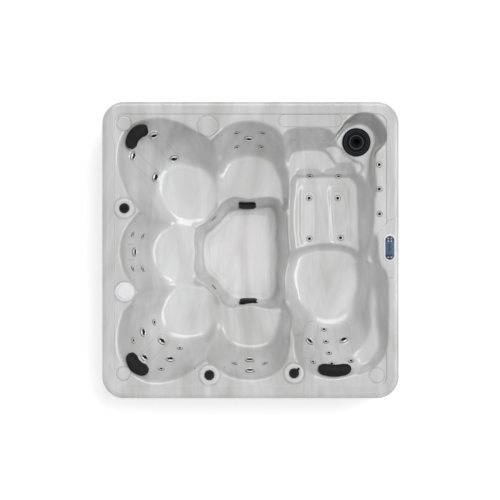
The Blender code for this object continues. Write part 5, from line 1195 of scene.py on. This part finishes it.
def line_points(line, closed, spacing):
    """Evenly spaced places along a line of pixels."""
    spots = [place(px) for px in line]
    if closed:
        spots.append(spots[0])
    points = []
    for a, b in zip(spots, spots[1:]):
        steps = max(int((b - a).length / spacing), 1)
        points += [a + (b - a) * step / steps for step in range(steps)]
    if not closed:
        points.append(spots[-1])
    return points


def circle_px(centre, radius):
    """A circle as pixels."""
    angles = [math.tau * k / FINE_STEPS for k in range(FINE_STEPS)]
    return [(centre[0] + radius * math.cos(a), centre[1] + radius * math.sin(a)) for a in angles]


def stadium_px(start, end, radius):
    """A stadium round a line between two pixels, as pixels."""
    turn = math.atan2(end[1] - start[1], end[0] - start[0])
    points = []
    for middle, first in ((end, turn - math.pi / 2), (start, turn + math.pi / 2)):
        for k in range(STADIUM_POINTS + 1):
            angle = first + math.pi * k / STADIUM_POINTS
            points.append((middle[0] + radius * math.cos(angle),
                           middle[1] + radius * math.sin(angle)))
    return points


def skin_point(x, y):
    """The place on the finished skin under a point."""
    found, spot, _, _ = bpy.data.objects["tub_shell"].ray_cast(
        Vector((x, y, RIM_TOP * 2)), Vector((0.0, 0.0, -1.0)))
    return tuple(spot) if found else (x, y, DECK)


def build_lines(name, lines, radius, finish):
    """Half sunk beads along lines of the shell: moulded edges and marks."""
    verts = []
    edges = []
    for line, closed in lines:
        start = len(verts)
        verts += [skin_point(point.x, point.y) for point in line_points(line, closed, LINE_STEP)]
        edges += [(k, k + 1) for k in range(start, len(verts) - 1)]
        if closed:
            edges.append((len(verts) - 1, start))
    mesh = bpy.data.meshes.new(name)
    mesh.from_pydata(verts, edges, [])
    tree, identifier = bead_tree(name + "_nodes", finish)
    on_body(grown(name, mesh, tree, identifier, radius), "tub", "pearl_acrylic")


def build_pads():
    """Moulded round pads under the valves and the cap, and the blank ones."""
    parts = []
    top = DECK + PAD_RISE

    def add(px, rows):
        parts.append((lathe(rows, FINE_STEPS), Matrix.Translation(place(px).to_3d()), 0))

    def pad(radius):
        rows = [(radius - PAD_RISE * inset, DECK + PAD_RISE * rise) for inset, rise in PAD_ROWS]
        return [(0.0, top)] + rows + [(0.0, DECK - PAD_RISE)]

    for px in DECK_FITTINGS_PX:
        add(px, pad(PAD_RADIUS))
    for px, radius in BLANK_DISCS_PX:
        outer = (radius + DISC_LIP_PX) * METRES_PER_PX
        add(px, pad(outer))
        add(px, scaled(DISC_ROWS, outer, PAD_RISE, top) + [(outer * DISC_FOOT, top - FIT), (0.0, top - FIT)])
    on_body(gathered("deck_pads", parts, [PEARL], 30), "tub", "pearl_acrylic")


def build_valves():
    """The air controls and the diverter: a pale plate and a black grip knob each."""
    foot = DECK + PAD_RISE + FIT
    bore = KNOB_RADIUS / 2
    plate = ring_lathe([(bore, PLATE_THICK * PLATE_ROWS[0][1])]
                       + scaled(PLATE_ROWS, PLATE_RADIUS, PLATE_THICK) + [(bore, 0.0)], FINE_STEPS)

    def scallop(row, angle):
        wave = (0.5 + 0.5 * math.cos(KNOB_GRIPS * angle)) ** 2
        return 1 - KNOB_SCALLOP * KNOB_GRIP_ROWS[row] * wave

    top = KNOB_HEIGHT - FIT
    knob = lathe([(0.0, top), (KNOB_RADIUS * KNOB_FACE, top)] + scaled(KNOB_ROWS, KNOB_RADIUS, KNOB_HEIGHT),
                 FINE_STEPS * 2, scallop)
    crown = lathe([(0.0, KNOB_HEIGHT), (KNOB_RADIUS * CROWN_FACE, KNOB_HEIGHT),
                   (KNOB_RADIUS * CROWN_FOOT, KNOB_HEIGHT - FIT * 2), (0.0, KNOB_HEIGHT - FIT * 2)],
                  FINE_STEPS)
    tongue = round_block(KNOB_RADIUS * TONGUE_WIDTH, KNOB_RADIUS * TONGUE_LENGTH,
                         KNOB_RADIUS * TONGUE_CORNER, scaled(TONGUE_ROWS, 1.0, KNOB_HEIGHT))
    for stem, px in (("air_left", AIR_KNOB_LEFT_PX), ("air_bottom", AIR_KNOB_BOTTOM_PX),
                     ("diverter", DIVERTER_PX)):
        seat = Matrix.Translation((*place(px), foot))
        item = gathered(stem + "_face", [(plate, seat, 0)], [HOOD])
        on_body(item, "tub", "white_plastic", stem + "_plate")
        raised = Matrix.Translation((*place(px), foot + PLATE_THICK + FIT))
        parts = [(knob, raised, 0), (crown, raised, 0)]
        if stem == "diverter":
            turn = Matrix.Rotation(math.radians(TONGUE_TURN), 4, "Z")
            parts.append((tongue, raised @ turn @ Matrix.Translation((0.0, KNOB_RADIUS, 0.0)), 0))
        item = gathered(stem + "_grip", parts, [BLACK])
        on_body(item, stem + "_knob", "black_plastic", stem + "_knob")


def build_cap():
    """The white twist cap in its socket, with a small dimple at its middle."""
    here = Matrix.Translation((*place(CAP_PX), DECK + PAD_RISE + FIT))
    bore = CAP_RADIUS * CAP_BORE
    rise = PLATE_THICK * SOCKET_RISE
    socket = ring_lathe([(bore, rise)] + scaled(SOCKET_ROWS, PLATE_RADIUS, PLATE_THICK) + [(bore, 0.0)],
                        FINE_STEPS)
    lid = lathe(scaled(CAP_ROWS, CAP_RADIUS, CAP_HEIGHT, rise + FIT), FINE_STEPS)
    item = gathered("cap_socket_ring", [(socket, here, 0)], [WHITE])
    on_body(item, "tub", "white_plastic", "cap_socket")
    item = gathered("deck_cap_lid", [(lid, here, 0)], [WHITE])
    on_body(item, "deck_cap", "white_plastic", "deck_cap")


def build_filter():
    """The ribbed ring over the filter, with lighter grey on its ribs as a painted highlight."""
    over = Matrix.Translation((*place(FILTER_PX), PLATFORM + FIT))
    hole = FILTER_HOLE_RADIUS
    thick = FILTER_LID_THICK
    rows = [(hole, thick * LID_HOLE_RISE)]
    step = (FILTER_LID_RADIUS * LID_REACH - hole) / LID_RINGS
    for k in range(LID_RINGS):
        start = hole + step * k
        rows += [(start + step * share, thick * rise) for share, rise in LID_RING_ROWS]
    rows += scaled(LID_EDGE_ROWS, FILTER_LID_RADIUS, thick) + [(hole, 0.0)]
    parts = [(ring_lathe(rows, FINE_STEPS * 2), over, 0)]
    for share, width in LID_RIBS:
        middle = FILTER_LID_RADIUS * share
        rib = [(middle - width, thick), (middle - width / 2, thick * LID_RIB_RISE),
               (middle + width / 2, thick * LID_RIB_RISE), (middle + width, thick),
               (middle + width, thick / 2), (middle - width, thick / 2)]
        parts.append((ring_lathe(rib, FINE_STEPS * 2), over, 1))
    on_body(gathered("filter_ring", parts, [LID_BLACK_AND_HOLE_SHADE, PAINTED_RIB_HIGHLIGHT]), "filter", "black_plastic", "filter_lid")
    build_cartridge()


def build_cartridge():
    """The pleated cartridge that hangs from the ring, with end caps and an open core in the lid's near-black
    as painted shade seen through the lid's hole.
    """
    low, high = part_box("filter_cartridge")
    radius = (high.x - low.x) / 2
    core = CARTRIDGE_CORE

    def fold(row, angle):
        return 1 - PLEAT_FOLD * abs((PLEATS * angle / math.pi) % 2 - 1) if row in (1, 2) else 1.0

    def end(bottom, top):
        return ring_lathe([(core, top), (radius * END_REACH, top), (radius, top - CARTRIDGE_END / 4),
                           (radius, bottom + CARTRIDGE_END / 4), (radius * END_REACH, bottom),
                           (core, bottom)], FINE_STEPS)

    def band(inner, outer, foot, steps, wave=None):
        return ring_lathe([(inner, high.z - foot), (outer, high.z - foot), (outer, low.z + foot),
                           (inner, low.z + foot)], steps, wave)

    paper = band(core * PAPER_CORE, radius * PAPER_REACH, CARTRIDGE_END, PLEAT_STEPS, fold)
    tube = band(core, core * TUBE_REACH, FIT, FINE_STEPS)
    here = Matrix.Translation((*place(FILTER_PX), 0.0))
    parts = [(end(high.z - CARTRIDGE_END, high.z), here, 1),
             (end(low.z, low.z + CARTRIDGE_END), here, 1), (tube, here, 1), (paper, here, 0)]
    item = gathered("filter_pleats", parts, [PAPER, LID_BLACK_AND_HOLE_SHADE], 20)
    on_body(item, "filter", "filter_paper", "filter_cartridge")


def build_covers():
    """The suction covers of the footwell: rounded blocks with grille bars, square to the tub."""
    face = round_block(COVER_WIDTH, COVER_LENGTH, COVER_WIDTH / 4,
                       scaled(COVER_ROWS, COVER_THICK, COVER_THICK))
    bar = round_block(COVER_BAR, COVER_LENGTH * GRILLE_LENGTH, COVER_BAR / 2,
                      scaled(COVER_BAR_ROWS, COVER_BAR, COVER_THICK))
    for name in COVERS:
        packed = cover_frame(name)
        normal = packed.to_3x3().col[2]
        facing = Vector((0.0, normal.y, normal.z * COVER_LIFT)).normalized()
        seat = frame_on(packed.translation - normal * COVER_THICK / 4, facing)
        parts = [(face, seat, 0)]
        for k in range(COVER_BARS):
            along = (k - (COVER_BARS - 1) / 2) * COVER_BAR * 2
            parts.append((bar, seat @ Matrix.Translation((along, 0.0, 0.0)), 0))
        item = gathered(name + "_grille", parts, [GRILLE])
        on_body(item, "tub", "black_plastic", name)


def build_panel():
    """The control panel: a rounded bezel, a blue overlay, its small display and six keys."""
    low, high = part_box("panel_bezel")
    width = high.x - low.x
    foot = RIM_TOP + FIT
    thick = high.z - foot
    here = Matrix.Translation((*place(PANEL_PX), foot))
    bezel = round_block(width, high.y - low.y, width / 2, scaled(BEZEL_ROWS, width, thick))
    item = gathered("panel_surround", [(bezel, here, 0)], [WHITE])
    on_body(item, "tub", "white_plastic", "panel_bezel")
    low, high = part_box("panel_screen")
    width = high.x - low.x
    length = high.y - low.y
    top = high.z - foot
    overlay = round_block(width, length, width / 2, [
        (0.0, thick * 0.9), (0.0, top - FIT), (width * 0.01, top)])
    across, along, corner = DISPLAY_SHARES
    display = round_block(width * across, length * along, width * corner, [
        (0.0, top - FIT), (0.0, top + FIT), (FIT, top + FIT * 1.5)])
    higher = here @ Matrix.Translation((0.0, length * DISPLAY_SHIFT, 0.0))
    item = gathered("panel_overlay", [(overlay, here, 0), (display, higher, 1)], [SCREEN, DISPLAY])
    on_body(item, "tub", "screen_blue", "panel_screen")
    for name in [f"panel_key_{k + 1}" for k in range(PANEL_KEYS)]:
        low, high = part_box(name)
        middle = (low + high) / 2
        radius = (high.x - low.x) / 2
        key = lathe(scaled(KEY_ROWS, radius, -FIT, high.z) + [(radius, low.z), (0.0, low.z)],
                    FINE_STEPS // 2)
        seat = Matrix.Translation((middle.x, middle.y, 0.0))
        on_body(gathered(name + "_face", [(key, seat, 0)], [KEY]), name, "key_pale", name)


def puffed(item):
    """Swell a closed form by cloth pressure and keep how far each point moves within a limit."""
    scene = bpy.context.scene
    rest = np.zeros(len(item.data.vertices) * 3)
    item.data.vertices.foreach_get("co", rest)
    step = item.modifiers.new("swell", "CLOTH")
    step.settings.use_pressure = True
    step.settings.uniform_pressure_force = PUFF_PRESSURE
    step.settings.effector_weights.gravity = 0.0
    step.settings.quality = PUFF_QUALITY
    for moment in range(1, PUFF_FRAMES + 1):
        scene.frame_set(moment)
    graph = bpy.context.evaluated_depsgraph_get()
    swelled = np.zeros(len(rest))
    item.evaluated_get(graph).data.vertices.foreach_get("co", swelled)
    item.modifiers.remove(step)
    scene.frame_set(1)
    move = (swelled - rest).reshape(-1, 3)
    far = np.maximum(np.linalg.norm(move, axis=1), FIT / 100)
    move *= (np.minimum(far, PUFF_LIMIT) / far)[:, None]
    item.data.vertices.foreach_set("co", (rest.reshape(-1, 3) + move).ravel())
    item.data.update()


def rounded_bean(item, inward):
    """Round a pillow's ends, fill its bowed inner edge in part and bring its outer edge out."""
    points = np.zeros(len(item.data.vertices) * 3)
    item.data.vertices.foreach_get("co", points)
    points = points.reshape(-1, 3)
    along = points[:, 0] * inward.y - points[:, 1] * inward.x
    middle = (along.max() + along.min()) / 2
    along -= middle
    deep = points[:, 0] * inward.x + points[:, 1] * inward.y
    half = along.max()
    bins = np.clip(((along / half + 1) * BOW_BINS / 2).astype(int), 0, BOW_BINS - 1)
    middles = (np.arange(BOW_BINS) + 0.5) * 2 / BOW_BINS - 1
    inside = range(BOW_BINS // 6, BOW_BINS - BOW_BINS // 6)
    inner = np.polyfit([middles[k] for k in inside], [deep[bins == k].max() for k in inside], 2)
    outer = np.polyfit([middles[k] for k in inside], [deep[bins == k].min() for k in inside], 2)
    place_along = along / half
    front = np.polyval(inner, place_along)
    back = np.polyval(outer, place_along)
    share = np.clip((deep - back) / (front - back), 0.0, 1.0)
    fill = np.maximum(np.polyval(inner, BOW_MATCH) - front, 0.0) * BOW_FILL
    bend = half ** 2 / (2 * max(outer[0], FIT))
    centre = outer[2] + bend
    reach = np.hypot(along, centre - deep)
    angle = np.arctan2(along, centre - deep)
    end = np.clip((np.abs(angle) / np.abs(angle).max() - END_START) / (1 - END_START), 0.0, 1.0)
    core = (reach.max() + reach.min()) / 2
    reach = core + (reach - core) * np.sqrt(1 - END_ROUND * end ** 2)
    move = share * fill - (1 - share) * BOW_OUT * (1 - np.clip(place_along, -1, 1) ** 2)
    deep = centre - reach * np.cos(angle * END_STRETCH) + move
    along = reach * np.sin(angle * END_STRETCH) + middle
    points[:, 0] = deep * inward.x + along * inward.y
    points[:, 1] = deep * inward.y - along * inward.x
    item.data.vertices.foreach_set("co", points.ravel())
    item.data.update()


def build_pillows():
    """The head pillows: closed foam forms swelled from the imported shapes."""
    for name in PILLOWS:
        source = frame["nodes"][name]
        item = linked(name + "_foam", source.data.copy())
        bm = bmesh.new()
        bm.from_mesh(item.data)
        bmesh.ops.remove_doubles(bm, verts=bm.verts, dist=FIT / 3)
        bm.to_mesh(item.data)
        bm.free()
        bpy.context.view_layer.objects.active = item
        item.select_set(True)
        item.data.remesh_voxel_size = PILLOW_VOXEL
        bpy.ops.object.voxel_remesh()
        rounded_bean(item, Vector(INWARD[name]).normalized())
        puffed(item)
        smooth = item.modifiers.new("smooth", "SMOOTH")
        smooth.factor = PILLOW_SMOOTH_SHARE
        smooth.iterations = PILLOW_SMOOTH
        finer = item.modifiers.new("finer", "SUBSURF")
        finer.levels = 1
        finer.render_levels = 1
        graph = bpy.context.evaluated_depsgraph_get()
        mesh = bpy.data.meshes.new_from_object(item.evaluated_get(graph), depsgraph=graph)
        item.modifiers.clear()
        item.data = mesh
        item.select_set(False)
        item.data.materials.clear()
        item.data.materials.append(FOAM)
        item.data.shade_smooth()
        on_body(item, "tub", "pillow_foam", name)


def paint_nodes():
    """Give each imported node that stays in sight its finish."""
    for item in frame["nodes"].values():
        for entry in item.material_slots:
            entry.material = FINISHES[entry.material.name.split(".")[0]]


def seen_directly(tree):
    """1 for the camera's rays and those that gloss or glass sends on, and 0 for the rest."""
    path = add_node(tree, "ShaderNodeLightPath").outputs
    level = path["Is Camera Ray"]
    for ray in ("Is Glossy Ray", "Is Transmission Ray"):
        level = add_node(tree, "ShaderNodeMath", {0: level, 1: path[ray]}, operation="MAXIMUM").outputs[0]
    return level


def build_floor():
    """A wide matt floor that keeps a soft shadow and is white where nothing shades it."""
    finish, tree, shader = new_finish("studio_floor_white")
    glow = add_node(tree, "ShaderNodeMath", {0: seen_directly(tree), 1: FLOOR_GLOW}, operation="MULTIPLY")
    fill_inputs(tree, shader, {
        "Base Color": (FLOOR_SHADE, FLOOR_SHADE, FLOOR_SHADE, 1.0), "Roughness": FLOOR_ROUGH,
        "Emission Color": (1.0, 1.0, 1.0, 1.0), "Emission Strength": glow.outputs[0]})
    half = FLOOR_WIDTH / 2
    corners = [(-half, -half, 0.0), (half, -half, 0.0), (half, half, 0.0), (-half, half, 0.0)]
    floor = new_mesh_object("studio_floor", corners, [(0, 1, 2, 3)], finish, shading=False)


def build_world():
    """Even light from all round, with a plain white background."""
    world = bpy.data.worlds.new("studio_world")
    bpy.context.scene.world = world
    world.use_nodes = True
    tree = world.node_tree
    strength = add_node(tree, "ShaderNodeMapRange", {
        "Value": seen_directly(tree), "To Min": WORLD_LIGHT, "To Max": 1.0})
    fill_inputs(tree, tree.nodes["Background"], {
        "Color": (1.0, 1.0, 1.0, 1.0), "Strength": strength.outputs["Result"]})


def soft_box(name, size, spot, power, gloss_only=False):
    """An area light that faces the tub; the gloss alone may see it."""
    light = bpy.data.lights.new(name, "AREA")
    light.shape = "RECTANGLE"
    light.size, light.size_y = size
    light.energy = power
    lamp = linked(name, light)
    lamp.location = spot
    aim = Vector((0.0, 0.0, LIGHT_AIM)) - Vector(spot)
    lamp.rotation_euler = aim.to_track_quat("-Z", "Y").to_euler()
    lamp.visible_diffuse = not gloss_only
    return lamp


def build_lights():
    """Large boxes for the bright crescents, a broad light, one down the footwell and one overhead."""
    away = BOX_AWAY
    up = BOX_HEIGHT
    soft_box("box_right", BOX_SIZE, (away, -BOX_SHIFT, up), BOX_POWER, True)
    soft_box("box_back", BOX_SIZE, (0.0, away, up), BOX_POWER * BACK_BOX_SHARE, True)
    soft_box("box_front", BOX_SIZE, (0.0, -away, up), BOX_POWER * FRONT_BOX_SHARE, True)
    soft_box("broad_left", BROAD_SIZE, BROAD_PLACE, BROAD_POWER)
    down = place(FOOTWELL_PX["centre"])
    snoot = soft_box("footwell_light", SNOOT_SIZE, (down.x, down.y, up), SNOOT_POWER)
    snoot.rotation_euler = (0.0, 0.0, 0.0)
    snoot.visible_glossy = False
    snoot.data.spread = math.radians(SNOOT_SPREAD)
    light = bpy.data.lights.new("overhead", "SUN")
    light.energy = SUN_POWER
    light.angle = math.radians(SUN_SPREAD)
    lamp = linked("overhead", light)
    lamp.location = (0.0, 0.0, up)
    lamp.rotation_euler = (-math.radians(SUN_LEAN), math.radians(SUN_LEAN), 0.0)
    lamp.visible_glossy = False


def build_camera():
    """The photograph's camera: straight above, far off, with a long lens."""
    data = bpy.data.cameras.new("camera")
    height = CAMERA_HEIGHT - RIM_TOP
    data.sensor_width = SENSOR
    data.sensor_height = SENSOR
    data.sensor_fit = "HORIZONTAL"
    data.lens = SENSOR * height / (PICTURE_PX * METRES_PER_PX)
    data.clip_start = height / 10
    data.clip_end = CAMERA_HEIGHT * 3
    camera = linked("camera", data)
    camera.location = ((PICTURE_PX / 2 - CENTRE_X_PX) * METRES_PER_PX, 0.0, CAMERA_HEIGHT)
    bpy.context.scene.camera = camera


def build_tub():
    """Every piece of the tub, in turn."""
    on_body(build_skin(PEARL), "tub", "pearl_acrylic", "shell")
    bpy.context.view_layer.update()
    for build in (build_large_jets, build_small_jets, build_lenses, build_pads, build_valves, build_cap,
                  build_filter, build_covers, build_panel, build_pillows):
        build()
    slots = [(stadium_px(*row), True) for row in CALF_SLOTS_PX + CHANNELS_PX]
    rings = [(circle_px(px, radius + DISC_RING_PX), True) for px, radius in BLANK_DISCS_PX]
    rings += [(circle_px(px, PAD_RADIUS / METRES_PER_PX + PAD_RING_PX), True) for px in DECK_FITTINGS_PX]
    marks = [(mark, False) for mark in SEAT_MARKS_PX]
    # Beads in the darker pearl paint the shade of the grooves along moulded lines, rings and marks
    for name, lines, radius, finish in (
            ("floor_line", [(FLOOR_LINE_PX, True)], FLOOR_BEAD, PEARL),
            ("panel_boss_line", [(PANEL_BOSS_PX, False)], LINE_BEAD, PAINTED_GROOVE_SHADE),
            ("deck_recess_line", [(stadium_px(*DECK_RECESS_PX), True)], LINE_BEAD, PAINTED_GROOVE_SHADE),
            ("channel_lines", slots, BEAD_RADIUS / 2, PAINTED_GROOVE_SHADE),
            ("pad_ring_lines", rings, BEAD_RADIUS / 2, PAINTED_GROOVE_SHADE),
            ("seat_marks", marks, BEAD_RADIUS, PAINTED_GROOVE_SHADE)):
        build_lines(name, lines, radius, finish)


build_tub()
paint_nodes()
build_floor()
build_world()
build_lights()
build_camera()
bpy.context.scene.view_settings.view_transform = "Standard"
